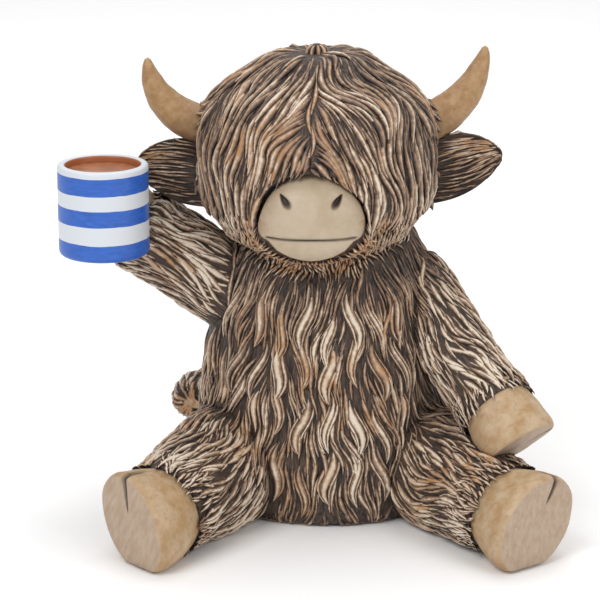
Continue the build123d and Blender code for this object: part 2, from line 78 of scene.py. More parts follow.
Mesh = bpy.types.Mesh
Object = bpy.types.Object
Material = bpy.types.Material
Socket = bpy.types.NodeSocket
Array = np.ndarray
Pair = tuple[float, float]
Names = tuple[str, ...]
Nodes = dict[str, Object]
Faces = list[tuple[int, ...]]
Path = tuple[list[Vector], list[Vector]]
Direction = Callable[[Vector, Vector], Vector]
Tone = Callable[[Vector], Pair]
Test = Callable[[Vector], bool]


class Side(Enum):
    """The cow's own sides, as the sign of X."""

    RIGHT = -1
    LEFT = 1


class Slot(Enum):
    """Names of the finishes."""

    COAT = "coat"
    MUZZLE = "muzzle_paint"
    HORN = "horn_paint"
    HOOF = "hoof_paint"
    MUG = "mug_paint"
    DRINK = "drink_tint"


def paint(code: str) -> tuple[float, float, float, float]:
    """Turns a hex colour into the linear values that shaders use, by the sRGB curve.

    Args:
        code: six hex digits, as mixed for the photographed paint.

    Returns:
        Red, green, blue and alpha.
    """
    shares = [int(code[place:place + 2], 16) / 255 for place in (0, 2, 4)]
    linear = [share / 12.92 if share <= 0.04045 else ((share + 0.055) / 1.055) ** 2.4 for share in shares]
    return (*linear, 1.0)


def ease(low: float, high: float, value: float) -> float:
    """Rises smoothly from 0 at low to 1 at high."""
    share = min(1.0, max(0.0, (value - low) / (high - low)))
    return share * share * (3 - 2 * share)


def bell(value: float, middle: float, reach: float) -> float:
    """A smooth hump: 1 at the middle, fading to 0 at its reach on both sides."""
    return 1 - ease(0.0, reach, abs(value - middle))


def between(table: tuple[tuple[float, ...], ...], place: float) -> Array:
    """Reads a table whose rows are a place and its shares, in straight lines from row to row."""
    rows = np.array(table)
    return np.array([np.interp(place, rows[:, 0], rows[:, column]) for column in range(1, rows.shape[1])])


def mix(pair: Pair, share: float) -> float:
    """The number at a share of the way from the first of a pair to the second."""
    return pair[0] + (pair[1] - pair[0]) * share


def share_along(start: Vector, end: Vector, point: Vector) -> float:
    """How far along a line a point lies, 0 at its start and 1 at its end."""
    axis = end - start
    return (point - start).dot(axis) / axis.length_squared


def ripple(point: Vector, size: float, seed: float = 0.0) -> float:
    """Smooth noise between about -1 and 1 with bumps of a size in millimetres."""
    return noise.noise(Vector((point.x / size + seed, point.y / size - seed, point.z / size + 2 * seed)))


def within_box(point: Vector, margin: float) -> Vector:
    """Keeps a point of the visual model within the castings' box.

    Args:
        point: the point, in metres.
        margin: how far it stays inside.

    Returns:
        The point, moved in where it lay outside.
    """
    low, high = CAD_BOX
    rows = zip(point, low, high)
    return Vector([min(max(value, least + margin), most - margin) for value, least, most in rows])


def mesh_of(name: str, points: Array, faces: Faces) -> Mesh:
    """Makes a smooth-shaded mesh.

    Args:
        name: the mesh's name.
        points: its points in millimetres, one row each.
        faces: the point numbers round each face, seen from outside.

    Returns:
        The new mesh, in metres.
    """
    mesh = bpy.data.meshes.new(name)
    mesh.from_pydata((np.asarray(points) * MM).tolist(), [], faces)
    mesh.validate()
    mesh.shade_smooth()
    return mesh


def store(mesh: Mesh, name: str, values: Array) -> None:
    """Keeps one number for each point of a mesh under a name that paints can read."""
    layer = mesh.attributes.new(name, "FLOAT", "POINT")
    layer.data.foreach_set("value", np.ascontiguousarray(values, dtype=np.float32))


def new_object(name: str, data: bpy.types.ID) -> Object:
    """Puts an object into the scene.

    Args:
        name: its name.
        data: what it shows: a mesh, a lamp or a camera.

    Returns:
        The object, at the origin.
    """
    body = bpy.data.objects.new(name, data)
    bpy.context.scene.collection.objects.link(body)
    return body


def baked(body: Object) -> Mesh:
    """Applies an object's modifiers, and removes the object with its own mesh.

    Args:
        body: the object.

    Returns:
        What its modifiers made of it, as a plain mesh.
    """
    graph = bpy.context.evaluated_depsgraph_get()
    made = bpy.data.meshes.new_from_object(
        body.evaluated_get(graph), preserve_all_data_layers=True, depsgraph=graph
    )
    source = body.data
    bpy.data.objects.remove(body)
    bpy.data.meshes.remove(source)
    return made


def triangles_of(mesh: Mesh) -> tuple[Array, Array]:
    """Reads a mesh.

    Args:
        mesh: the mesh.

    Returns:
        Its points in metres, and its triangles' point numbers.
    """
    mesh.calc_loop_triangles()
    points = np.empty((len(mesh.vertices), 3), np.float32)
    mesh.vertices.foreach_get("co", points.ravel())
    faces = np.empty((len(mesh.loop_triangles), 3), np.int32)
    mesh.loop_triangles.foreach_get("vertices", faces.ravel())
    return points, faces


def place_piece(name: str, mesh: Mesh, stands_for: Names = ()) -> None:
    """Puts a finished mesh on the figurine and reports it.

    Args:
        name: the piece's name.
        mesh: its mesh, in place.
        stands_for: the castings that it is shown in place of.
    """
    mesh.name = name
    piece = new_object(name, mesh)
    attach(piece, ROOT_BODY)
    if stands_for:
        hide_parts(*stands_for)
    LOG.info("%s: %d faces", name, len(mesh.polygons))


def place_form(casting: str, mesh: Mesh, finish: Material) -> None:
    """Shows a painted form in place of one casting."""
    mesh.materials.append(finish)
    place_piece(f"{casting}_form", mesh, (casting,))


def ring_faces(rings: list[list[int]], flip: bool) -> Faces:
    """Quads between closed rings of points that follow one another.

    Args:
        rings: the rings' point numbers, equally many in each.
        flip: whether the rings run the other way round.

    Returns:
        The quads' point numbers.
    """
    faces = []
    for near, far in zip(rings, rings[1:]):
        for step in range(len(near)):
            after = (step + 1) % len(near)
            face = (near[step], near[after], far[after], far[step])
            faces.append(face[::-1] if flip else face)
    return faces


def cap_faces(ring: list[int], pole: int, flip: bool) -> Faces:
    """Triangles that close a ring of points on a pole, turned over for a ring that runs the other way."""
    edges = zip(ring, ring[1:] + ring[:1])
    return [(after, before, pole) if flip else (before, after, pole) for before, after in edges]


def closed_faces(count: int, around: int, flip: bool = False) -> Faces:
    """Closes a form whose points are rings, then the pole of the last ring and that of the first.

    Args:
        count: how many rings there are.
        around: how many points each ring has.
        flip: whether the rings run the other way round.

    Returns:
        The form's faces.
    """
    pole = count * around
    rings = [list(range(first, first + around)) for first in range(0, pole, around)]
    caps = cap_faces(rings[-1], pole, flip) + cap_faces(rings[0], pole + 1, not flip)
    return ring_faces(rings, flip) + caps


class NodeTree:
    """A node tree under construction, node by node."""

    def __init__(self, tree: bpy.types.NodeTree) -> None:
        """Takes the tree to fill."""
        self.nodes = tree.nodes
        self.links = tree.links

    def add(self, kind: str, inputs: dict, output: str | int = 0, **settings: object) -> Socket:
        """Adds a node.

        Args:
            kind: the node's type.
            inputs: what goes into its sockets, a value or another node's socket.
            output: the socket to return.
            settings: the node's own properties.

        Returns:
            The chosen output socket.
        """
        node = self.nodes.new(kind)
        for name, value in settings.items():
            setattr(node, name, value)
        for name, value in inputs.items():
            self.feed(node.inputs[name], value)
        return node.outputs[output]

    def feed(self, socket: Socket, value: object) -> None:
        """Links a socket to another one, or sets its value.

        Args:
            socket: the socket to feed.
            value: another socket or a plain value.
        """
        if isinstance(value, Socket):
            self.links.new(value, socket)
        else:
            socket.default_value = value


class PaintTree(NodeTree):
    """One procedural paint."""

    MIX_SHARE = 0
    MIX_FIRST = 6
    MIX_SECOND = 7
    MIX_RESULT = 2
    CLOUD_ROUGHNESS = 0.6

    def __init__(self, name: str) -> None:
        """Starts an empty paint.

        Args:
            name: the paint's name.
        """
        self.material = bpy.data.materials.new(name)
        self.material.use_nodes = True
        super().__init__(self.material.node_tree)
        self.shader = self.nodes["Principled BSDF"]
        self.place = self.nodes.new("ShaderNodeTexCoord").outputs["Object"]

    def attribute(self, name: str) -> Socket:
        """Reads a number that is stored on the mesh."""
        return self.add("ShaderNodeAttribute", {}, "Fac", attribute_name=name)

    def drawn_out(self, axis: Vector, stretch: float) -> Socket:
        """Object coordinates drawn out along an axis.

        Args:
            axis: the axis.
            stretch: how many times longer patches become along it.

        Returns:
            The coordinates' socket.
        """
        turn = axis.to_track_quat("Z", "Y").to_euler()
        inputs = {"Vector": self.place, "Rotation": turn, "Scale": (1.0, 1.0, stretch)}
        return self.add("ShaderNodeMapping", inputs, "Vector", vector_type="TEXTURE")

    def noise(self, size: float, detail: float, vector: Socket | None = None) -> Socket:
        """Cloudy noise from 0 to 1 with patches of a size in millimetres."""
        inputs = {"Vector": vector or self.place, "Scale": 1 / (size * MM), "Detail": detail}
        return self.add("ShaderNodeTexNoise", inputs | {"Roughness": self.CLOUD_ROUGHNESS}, "Fac")

    def specks(self, pitch: float, radius: float, share: float) -> Socket:
        """Sparse round specks, 1 inside and 0 outside.

        Args:
            pitch: the millimetres from one possible speck to the next.
            radius: a speck's radius in millimetres.
            share: the share of possible specks that show.

        Returns:
            The mask's socket.
        """
        node = self.nodes.new("ShaderNodeTexVoronoi")
        self.feed(node.inputs["Vector"], self.place)
        self.feed(node.inputs["Scale"], 1 / (pitch * MM))
        near = self.math("LESS_THAN", node.outputs["Distance"], radius / pitch)
        kept = self.math("LESS_THAN", node.outputs["Color"], share)
        return self.math("MULTIPLY", near, kept)

    def math(self, kind: str, first: object, second: object) -> Socket:
        """One sum of two numbers or sockets."""
        return self.add("ShaderNodeMath", {0: first, 1: second}, 0, operation=kind)

    def span(self, value: Socket, low: float, high: float) -> Socket:
        """Brings a number to 0 at low and 1 at high, clamped."""
        return self.add("ShaderNodeMapRange", {"Value": value, "From Min": low, "From Max": high}, 0)

    def offset(self, value: Socket, middle: float, gain: float) -> Socket:
        """How far a number is from a middle, times a gain."""
        return self.math("MULTIPLY", self.math("SUBTRACT", value, middle), gain)

    def blend(self, share: Socket, first: Socket | str, second: Socket | str, kind: str = "MIX") -> Socket:
        """Blends two colours.

        Args:
            share: the share of the second colour.
            first: the first colour, a socket or a hex colour.
            second: the second colour.
            kind: how they are blended.

        Returns:
            The colour's socket.
        """
        first, second = (paint(colour) if isinstance(colour, str) else colour for colour in (first, second))
        inputs = {self.MIX_SHARE: share, self.MIX_FIRST: first, self.MIX_SECOND: second}
        return self.add("ShaderNodeMix", inputs, self.MIX_RESULT, data_type="RGBA", blend_type=kind)

    def ramp(self, value: object, stops: list[tuple[float, str]]) -> Socket:
        """Colours a number by stops of a place and a hex colour.

        Args:
            value: the number.
            stops: places with their hex colours, from the lowest.

        Returns:
            The colour's socket.
        """
        node = self.nodes.new("ShaderNodeValToRGB")
        self.feed(node.inputs["Fac"], value)
        elements = node.color_ramp.elements
        while len(elements) < len(stops):
            elements.new(0.5)
        for element, (place, code) in zip(elements, stops):
            element.position = place
            element.color = paint(code)
        return node.outputs["Color"]

    def relief(self, height: Socket, depth: float, under: object = None) -> Socket:
        """Turns a height into a bent normal, of a depth in millimetres.

        Args:
            height: the height.
            depth: the relief's depth.
            under: a bent normal that lies under it.

        Returns:
            The normal's socket.
        """
        inputs = {"Height": height, "Distance": depth * MM, "Strength": 1.0}
        if under is not None:
            inputs["Normal"] = under
        return self.add("ShaderNodeBump", inputs, "Normal")

    def finish(self, colour: object, roughness: object, normal: object = None) -> Material:
        """Connects what was made to the shader.

        Args:
            colour: the base colour.
            roughness: the roughness.
            normal: the bent normal, if there is one.

        Returns:
            The finished paint.
        """
        self.feed(self.shader.inputs["Base Color"], colour)
        self.feed(self.shader.inputs["Roughness"], roughness)
        if normal is not None:
            self.feed(self.shader.inputs["Normal"], normal)
        return self.material


@dataclass(frozen=True)
class CoatPaint:
    """Hair locks: dark wash in the grooves, brown flanks, crests dry-brushed tan and cream, and painted shade
    towards each lock's root.
    """

    groove: str = "1a1412"
    shadow: str = "342922"
    flank: str = "675144"
    tan: str = "9b7d62"
    cream: str = "e0d3c1"
    ochre: str = "b78a5a"
    roughness: float = 0.52

    def make(self) -> Material:
        """Mixes the paint from the numbers that each lock carries.

        Returns:
            The finished paint.
        """
        tree = PaintTree("coat_paint")
        skips = tree.offset(tree.noise(1.5, 3.0), 0.5, 0.5)
        # Each lock's brightness: dry-brushing, with painted shade under the chin
        brightness = tree.offset(tree.attribute("bright"), 0.5, 0.5)
        # Painted shade: each lock darker towards its root, where it tucks under the tips of the locks above
        rooted = tree.offset(tree.span(tree.attribute("along"), 0.0, 0.4), 0.75, 0.3)
        dry_brush_and_shade = tree.math("ADD", tree.math("ADD", skips, brightness), rooted)
        height = tree.math("ADD", tree.attribute("crest"), dry_brush_and_shade)
        stops = [(0.34, self.groove), (0.50, self.shadow), (0.68, self.flank), (0.86, self.tan)]
        wash = tree.ramp(height, stops)
        warmth = tree.math("MULTIPLY", tree.attribute("warm"), tree.span(tree.noise(4.0, 2.0), 0.3, 0.65))
        brushed = tree.blend(warmth, self.cream, self.ochre)
        colour = tree.blend(tree.span(height, 0.88, 1.06), wash, brushed)
        glow = tree.blend(tree.math("MULTIPLY", warmth, 0.2), colour, self.ochre, "SOFT_LIGHT")
        pitted = tree.blend(tree.specks(5.5, 0.32, 0.3), glow, self.groove)
        sheen = tree.math("ADD", tree.math("MULTIPLY", tree.noise(2.2, 2.0), 0.25), self.roughness - 0.12)
        return tree.finish(pitted, sheen, tree.relief(tree.noise(0.35, 2.0), 0.08))


@dataclass(frozen=True)
class SkinPaint:
    """The casting under the locks: a dark wash in fine combed grooves."""

    groove: str = "211a18"
    ridge: str = "594638"

    def make(self, name: str, axis: Vector) -> Material:
        """Mixes the paint.

        Args:
            name: the casting that it covers.
            axis: the direction in which its hair is combed.

        Returns:
            The finished paint.
        """
        tree = PaintTree(f"{name}_skin_paint")
        combed = tree.noise(0.9, 3.0, tree.drawn_out(axis, 7.0))
        colour = tree.ramp(combed, [(0.38, self.groove), (0.68, self.ridge)])
        return tree.finish(colour, 0.6, tree.relief(combed, 0.7))


@dataclass(frozen=True)
class MuzzlePaint:
    """Cream paint with brown round the rim, deepened below as painted shade, and dark paint with painted
    shade in the nostrils and along the mouth.
    """

    cream: str = "b09d83"
    pale: str = "bfae98"
    # Brown for the rim, deepened on the lower half as painted shade, and for the specks
    wash: str = "94714a"
    # Dark brown of the nostrils and mouth: dark paint together with painted shade
    hollow: str = "312924"
    skin: str = "5a4435"
    roughness: float = 0.5

    def make(self) -> Material:
        """Mixes the paint from the numbers that the muzzle carries.

        Returns:
            The finished paint.
        """
        tree = PaintTree("muzzle_paint")
        cloud = tree.span(tree.noise(7.0, 4.0), 0.35, 0.7)
        base = tree.blend(cloud, self.cream, self.pale)
        # Brown round the rim, strongest on the lower half: paint deepened as painted shade
        edge = tree.math("MULTIPLY", tree.attribute("edge"), tree.span(tree.noise(3.0, 3.0), 0.2, 0.75))
        brown_edge_and_shade = tree.blend(edge, base, self.wash)
        # Dark paint and painted shade in the nostrils and along the mouth
        hollowed = tree.blend(tree.attribute("hollow"), brown_edge_and_shade, self.hollow)
        speckled = tree.blend(tree.specks(4.5, 0.16, 0.2), hollowed, self.wash)
        framed = tree.blend(tree.attribute("skin"), speckled, self.skin)
        grain = tree.relief(tree.noise(0.5, 2.0), 0.05, tree.relief(tree.noise(3.0, 2.0), 0.25))
        return tree.finish(framed, self.roughness, grain)


@dataclass(frozen=True)
class HornPaint:
    """Ochre paint with painted shade at the root, strongest on the underside; darker in the nicks and paler
    on the tip.
    """

    ochre: str = "99734a"
    pale: str = "b08f66"
    # Umber, for the painted shade at the root and for the nicks
    umber: str = "573b24"
    roughness: float = 0.48

    def make(self) -> Material:
        """Mixes the paint from the numbers that the horns carry.

        Returns:
            The finished paint.
        """
        tree = PaintTree("horn_paint")
        streaks = tree.span(tree.noise(2.4, 4.0), 0.35, 0.7)
        base = tree.blend(streaks, self.ochre, self.pale)
        # Painted shade at the root, strongest on the underside, broken up by noise
        root = tree.math("MULTIPLY", tree.attribute("root"), tree.span(tree.noise(2.5, 3.0), 0.15, 0.6))
        shaded = tree.blend(root, base, self.umber)
        nicked = tree.blend(tree.specks(3.6, 0.3, 0.25), shaded, self.umber)
        grain = tree.relief(tree.noise(0.6, 3.0), 0.1, tree.relief(tree.noise(4.0, 2.0), 0.5))
        return tree.finish(nicked, self.roughness, grain)


@dataclass(frozen=True)
class HoofPaint:
    """Tan paint in soft brush strokes, a greyer streaked sole and painted shade in the cleft."""

    tan: str = "ab8960"
    pale: str = "bea585"
    umber: str = "8a6442"
    sole: str = "a68d76"
    sole_pale: str = "b9a48e"
    # Dark brown, for the painted shade in the cleft
    cleft: str = "3a2c24"
    roughness: float = 0.55

    def make(self) -> Material:
        """Mixes the paint from the numbers that the hooves carry.

        Returns:
            The finished paint.
        """
        tree = PaintTree("hoof_paint")
        cloud = tree.noise(5.0, 3.0)
        strokes = tree.noise(1.6, 4.0, tree.drawn_out(Vector((0.3, -0.4, 0.9)), 3.5))
        wall = tree.blend(tree.span(cloud, 0.35, 0.65), self.tan, self.pale)
        worn = tree.blend(tree.math("MULTIPLY", tree.span(strokes, 0.5, 0.8), 0.55), wall, self.umber)
        under = tree.blend(tree.span(strokes, 0.3, 0.7), self.sole, self.sole_pale)
        flat = tree.blend(tree.attribute("sole"), worn, under)
        # Painted shade in the cleft
        shaded_cleft = tree.blend(tree.attribute("wash"), flat, self.cleft)
        grain = tree.relief(strokes, 0.12, tree.relief(tree.noise(4.5, 2.0), 0.4))
        return tree.finish(shaded_cleft, self.roughness, grain)


@dataclass(frozen=True)
class BandedPaint:
    """Blue and white bands brushed round the mug by hand, with a brown inside."""

    blue: str = "2f66c4"
    deep_blue: str = "2557ad"
    white: str = "d3d8de"
    inside: str = "a5623c"
    wobble: float = 0.35
    roughness: float = 0.38

    def make(self, edges: tuple[float, ...]) -> Material:
        """Mixes the paint.

        Args:
            edges: the heights where blue and white change over, from the lowest up, blue first.

        Returns:
            The finished paint.
        """
        tree = PaintTree("mug_band_paint")
        height = tree.add("ShaderNodeSeparateXYZ", {"Vector": tree.place}, "Z")
        waver = tree.offset(tree.noise(9.0, 2.0), 0.5, 2 * self.wobble * MM)
        level = tree.math("ADD", height, waver)
        banded = tree.math("LESS_THAN", level, edges[0] * MM)
        for low, high in zip(edges[1::2], edges[2::2]):
            above = tree.math("GREATER_THAN", level, low * MM)
            below = tree.math("LESS_THAN", level, high * MM)
            banded = tree.math("ADD", banded, tree.math("MULTIPLY", above, below))
        strokes = tree.span(tree.noise(3.0, 3.0, tree.drawn_out(Vector((0.0, 0.0, 1.0)), 0.25)), 0.3, 0.7)
        blue = tree.blend(strokes, self.blue, self.deep_blue)
        outside = tree.blend(banded, self.white, blue)
        colour = tree.blend(tree.attribute("inside"), outside, self.inside)
        return tree.finish(colour, self.roughness, tree.relief(tree.noise(2.0, 2.0), 0.06))


@dataclass(frozen=True)
class DrinkTint:
    """A brown fill, brushed unevenly."""

    brown: str = "a86c48"
    dark: str = "8a512e"

    def make(self) -> Material:
        """Mixes the tint.

        Returns:
            The finished tint.
        """
        tree = PaintTree("drink_tint")
        colour = tree.blend(tree.span(tree.noise(4.0, 3.0), 0.35, 0.65), self.brown, self.dark)
        return tree.finish(colour, 0.35, tree.relief(tree.noise(3.0, 2.0), 0.2))


@dataclass(frozen=True)
class HiddenFinish:
    """A plain hidden material: felt, rubber or cut wire."""

    name: str
    dark: str
    light: str
    grain: float
    roughness: float
    metallic: float = 0.0

    def make(self) -> Material:
        """Mixes the material from fine noise.

        Returns:
            The finished material.
        """
        tree = PaintTree(self.name)
        fibre = tree.noise(self.grain, 4.0)
        tree.shader.inputs["Metallic"].default_value = self.metallic
        colour = tree.ramp(fibre, [(0.35, self.dark), (0.7, self.light)])
        return tree.finish(colour, self.roughness, tree.relief(fibre, self.grain / 4))


class Hit(NamedTuple):
    """Where a line meets the skin, the skin's normal there and the casting that it belongs to."""

    point: Vector
    normal: Vector
    casting: str


class HairBed:
    """The smooth skin that the locks lie on, in millimetres, and the casting that each face belongs to."""

    VOXEL = 0.9
    SMOOTHING = 0.5
    SMOOTHING_ROUNDS = 6
    TRIES = 7
    IN_FRONT = -90.0
    CASTINGS = (
        "torso", "base_plug", "head", "fringe", "muzzle", "right_horn", "left_horn", "right_ear", "left_ear",
        "right_arm", "left_arm", "right_leg", "left_leg", "right_fore_hoof", "left_fore_hoof",
        "right_hind_hoof", "left_hind_hoof", "tail",
    )

    def __init__(self, nodes: Nodes) -> None:
        """Joins copies of the castings into one skin and notes whose each face is.

        Args:
            nodes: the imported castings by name.
        """
        points, faces, owners = self.gather(nodes)
        mesh = self.remesh(points, faces)
        self.points, self.faces = triangles_of(mesh)
        bpy.data.meshes.remove(mesh)
        self.points /= MM
        corners = self.points[self.faces]
        across = np.cross(corners[:, 1] - corners[:, 0], corners[:, 2] - corners[:, 0])
        self.areas = np.linalg.norm(across, axis=1) / 2
        self.tree = BVHTree.FromPolygons(self.points.tolist(), self.faces.tolist())
        castings = BVHTree.FromPolygons((points / MM).tolist(), faces.tolist())
        middles = corners.mean(axis=1).tolist()
        self.owners = np.array([owners[castings.find_nearest(middle)[2]] for middle in middles])

    def gather(self, nodes: Nodes) -> tuple[Array, Array, Array]:
        """Collects the castings' triangles.

        Args:
            nodes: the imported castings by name.

        Returns:
            Points, triangles and the number of the casting that owns each triangle.
        """
        points, faces, owners = [], [], []
        count = 0
        for number, name in enumerate(self.CASTINGS):
            own_points, own_faces = triangles_of(nodes[name].data)
            points.append(own_points)
            faces.append(own_faces + count)
            owners.append(np.full(len(own_faces), number))
            count += len(own_points)
        return np.concatenate(points), np.concatenate(faces), np.concatenate(owners)

    def remesh(self, points: Array, faces: Array) -> Mesh:
        """Fuses triangles into one smooth closed skin.

        Args:
            points: the points in metres.
            faces: the triangles' point numbers.

        Returns:
            The skin.
        """
        rough = bpy.data.meshes.new("hair_bed")
        rough.from_pydata(points.tolist(), [], faces.tolist())
        body = new_object("hair_bed", rough)
        fuse = body.modifiers.new("fuse", "REMESH")
        fuse.mode = "VOXEL"
        fuse.voxel_size = self.VOXEL * MM
        relax = body.modifiers.new("relax", "SMOOTH")
        relax.factor = self.SMOOTHING
        relax.iterations = self.SMOOTHING_ROUNDS
        return baked(body)

    def owner(self, face: int) -> str:
        """The casting that a face belongs to."""
        return self.CASTINGS[self.owners[face]]

    def hit(self, start: Vector, direction: Vector) -> Hit | None:
        """Where a line from a start in a direction first meets the skin, if it does."""
        spot, normal, face, _ = self.tree.ray_cast(start, direction)
        return None if spot is None else Hit(spot, normal, self.owner(face))

    def seen(self, across: float, level: float) -> Hit | None:
        """What a line from straight in front meets at a place across and a level."""
        return self.hit(Vector((across, self.IN_FRONT, level)), Vector((0.0, 1.0, 0.0)))

    def scatter(self, castings: Names, spacing: float, seed: int) -> list[Vector]:
        """Spreads roots over some castings, none nearer to another than a spacing.

        Args:
            castings: whose skin to cover.
            spacing: the least distance between roots.
            seed: the seed of the random draws.

        Returns:
            The roots.
        """
        rng = np.random.default_rng(seed)
        numbers = [self.CASTINGS.index(name) for name in castings]
        faces = np.flatnonzero(np.isin(self.owners, numbers))
        areas = self.areas[faces]
        tries = int(areas.sum() / spacing ** 2 * self.TRIES)
        picks = rng.choice(faces, tries, p=areas / areas.sum())
        shares = rng.random((tries, 2))
        shares = np.where(shares.sum(axis=1, keepdims=True) > 1, 1 - shares, shares)
        first, second, third = (self.points[self.faces[picks, corner]] for corner in range(3))
        spots = first + shares[:, :1] * (second - first) + shares[:, 1:] * (third - first)
        near = KDTree(tries)
        for number, spot in enumerate(spots.tolist()):
            near.insert(spot, number)
        near.balance()
        taken = np.zeros(tries, bool)
        roots = []
        for number, spot in enumerate(spots.tolist()):
            if taken[number]:
                continue
            roots.append(Vector(spot))
            for _, other, _ in near.find_range(spot, spacing):
                taken[other] = True
        return roots


@dataclass(frozen=True)
class LockStyle:
    """How one layer of locks is modelled."""

    layer: str
    spacing: float
    length: Pair
    half_width: Pair
    segments: int = 8
    wave: float = 40.0
    wave_size: float = 13.0
    lift: Pair = (-0.35, 0.3)
    lift_spread: float = 0.3
    bright: float = 0.0
    inertia: float = 0.3


class CoatStyles:
    """The layers of each kind of coat.

    A layer gives its name, spacing, length, half width, segments, wave, wave size, lift, lift spread and
    brightness.
    """

    TORSO = (
        LockStyle("under", 1.9, (8.0, 14.0), (0.5, 0.8), 6, 24.0, 13.0, (-0.4, -0.1), 0.1, -0.1),
        LockStyle("over", 3.3, (9.0, 15.0), (0.7, 1.15), 8, 30.0, 13.0, (-0.5, 0.1), 0.25),
    )
    FRINGE = (
        LockStyle("under", 2.0, (9.0, 15.0), (0.55, 0.9), 6, 30.0, 13.0, (-0.5, -0.2), 0.15, -0.12),
        LockStyle("over", 3.6, (13.0, 24.0), (0.95, 1.6), 11, 36.0, 13.0, (-0.6, 0.1), 0.4, 0.08),
    )
    LIMB = (
        LockStyle("under", 1.9, (6.0, 10.0), (0.45, 0.7), 5, 22.0, 12.0, (-0.4, -0.1), 0.1, -0.1),
        LockStyle("over", 3.0, (8.0, 14.0), (0.85, 1.3), 8, 34.0, 11.0, (-0.5, 0.1), 0.25, 0.08),
    )
    CUFF = (LockStyle("tufts", 1.6, (3.5, 6.5), (0.45, 0.8), 5, 26.0, 6.0, (-0.3, 0.4)),)
    CHEEK = (LockStyle("tufts", 1.15, (3.0, 5.5), (0.45, 0.75), 5, 20.0, 6.0, (-0.2, 0.3), 0.2, 0.08),)
    JAW = (LockStyle("tufts", 1.35, (3.5, 6.5), (0.4, 0.65), 5, 24.0, 6.0, (-0.3, 0.35)),)
    EAR = (LockStyle("over", 1.5, (6.0, 11.0), (0.4, 0.7), 6, 14.0, 9.0, (-0.2, 0.15), 0.15),)
    TAIL = (LockStyle("over", 2.2, (8.0, 13.0), (0.8, 1.2), 7, 14.0, 12.0, (-0.3, 0.1), 0.1),)


@dataclass(frozen=True)
class HairRegion:
    """A stretch of coat: where it is rooted, where it may run, how it falls and how it is painted."""

    name: str
    rooted_in: Names
    runs_over: Names
    falls: Direction
    tone: Tone
    styles: tuple[LockStyle, ...]
    overhang: float = 1.5
    within: Callable[[Vector, Vector], bool] = field(default=lambda point, normal: True)
    split_at: float | None = None
    lowest_facing: float = -1.0
    trimmed: Test = field(default=lambda point: False)
    swing_seed: float = 4.0
    calmed: Test = field(default=lambda point: False)


class LockTree(NodeTree):
    """The node tree that sweeps a ridged profile along every strand."""

    SIDES = 5
    CREST_HEIGHT = 0.85
    CREST_FROM = -0.35

    def __init__(self) -> None:
        """Builds the tree with its named inputs."""
        self.tree = bpy.data.node_groups.new("hair_locks", "GeometryNodeTree")
        super().__init__(self.tree)
        sockets = self.tree.interface.new_socket
        kinds = {"Strands": "Geometry", "Profile sides": "Int", "Crest height": "Float", "Paint": "Material"}
        _, self.sides, self.crest, self.paint = [
            sockets(name, in_out="INPUT", socket_type=f"NodeSocket{kind}").identifier
            for name, kind in kinds.items()
        ]
        sockets("Locks", in_out="OUTPUT", socket_type="NodeSocketGeometry")
        given = self.nodes.new("NodeGroupInput").outputs
        profile = self.profile(given["Profile sides"], given["Crest height"])
        strands = self.add("GeometryNodeMeshToCurve", {"Mesh": given["Strands"]})
        lie = self.read("lie", "FLOAT_VECTOR")
        turned = self.add("GeometryNodeSetCurveNormal", {"Curve": strands, "Normal": lie}, mode="FREE")
        sweep = {
            "Curve": turned,
            "Profile Curve": profile,
            "Scale": self.read("half_width", "FLOAT"),
            "Fill Caps": True,
        }
        locks = self.add("GeometryNodeCurveToMesh", sweep)
        smooth = self.add("GeometryNodeSetShadeSmooth", {"Geometry": locks})
        real = self.add("GeometryNodeRealizeInstances", {"Geometry": smooth})
        painted = self.add("GeometryNodeSetMaterial", {"Geometry": real, "Material": given["Paint"]})
        self.links.new(painted, self.nodes.new("NodeGroupOutput").inputs["Locks"])

    def read(self, name: str, kind: str) -> Socket:
        """Reads a number that the strands carry."""
        return self.add("GeometryNodeInputNamedAttribute", {"Name": name}, data_type=kind)

    def profile(self, sides: Socket, height: Socket) -> Socket:
        """Makes a lock's section, with its crest along X.

        Args:
            sides: how many sides it has.
            height: the crest's height as a share of the half width.

        Returns:
            The section's curve, carrying how near each point is to the crest.
        """
        circle = self.add("GeometryNodeCurvePrimitiveCircle", {"Resolution": sides, "Radius": 1.0})
        place = self.add("GeometryNodeInputPosition", {})
        up = self.add("ShaderNodeSeparateXYZ", {"Vector": place})
        rise = {"Value": up, "From Min": self.CREST_FROM, "From Max": 1.0}
        crest = self.add("ShaderNodeMapRange", rise)
        marked = {"Geometry": circle, "Name": "crest", "Value": crest}
        section = self.add("GeometryNodeStoreNamedAttribute", marked, data_type="FLOAT", domain="POINT")
        scale = self.add("ShaderNodeCombineXYZ", {"X": height, "Y": 1.0, "Z": 1.0})
        return self.add("GeometryNodeTransform", {"Geometry": section, "Scale": scale})

    def sweep(self, strands: Mesh, coat: Material) -> Mesh:
        """Runs the tree over strands.

        Args:
            strands: polylines that carry lie, half_width, along, bright and warm.
            coat: the paint of the locks.

        Returns:
            The locks as a plain mesh.
        """
        body = new_object("strands", strands)
        modifier = body.modifiers.new("locks", "NODES")
        modifier.node_group = self.tree
        modifier[self.sides] = self.SIDES
        modifier[self.crest] = self.CREST_HEIGHT
        modifier[self.paint] = coat
        return baked(body)


@dataclass
class Strand:
    """One lock's centre line, its lie on the skin and its paint."""

    points: list[Vector]
    lies: list[Vector]
    half_width: float
    lift: Pair
    bright: float
    warm: float


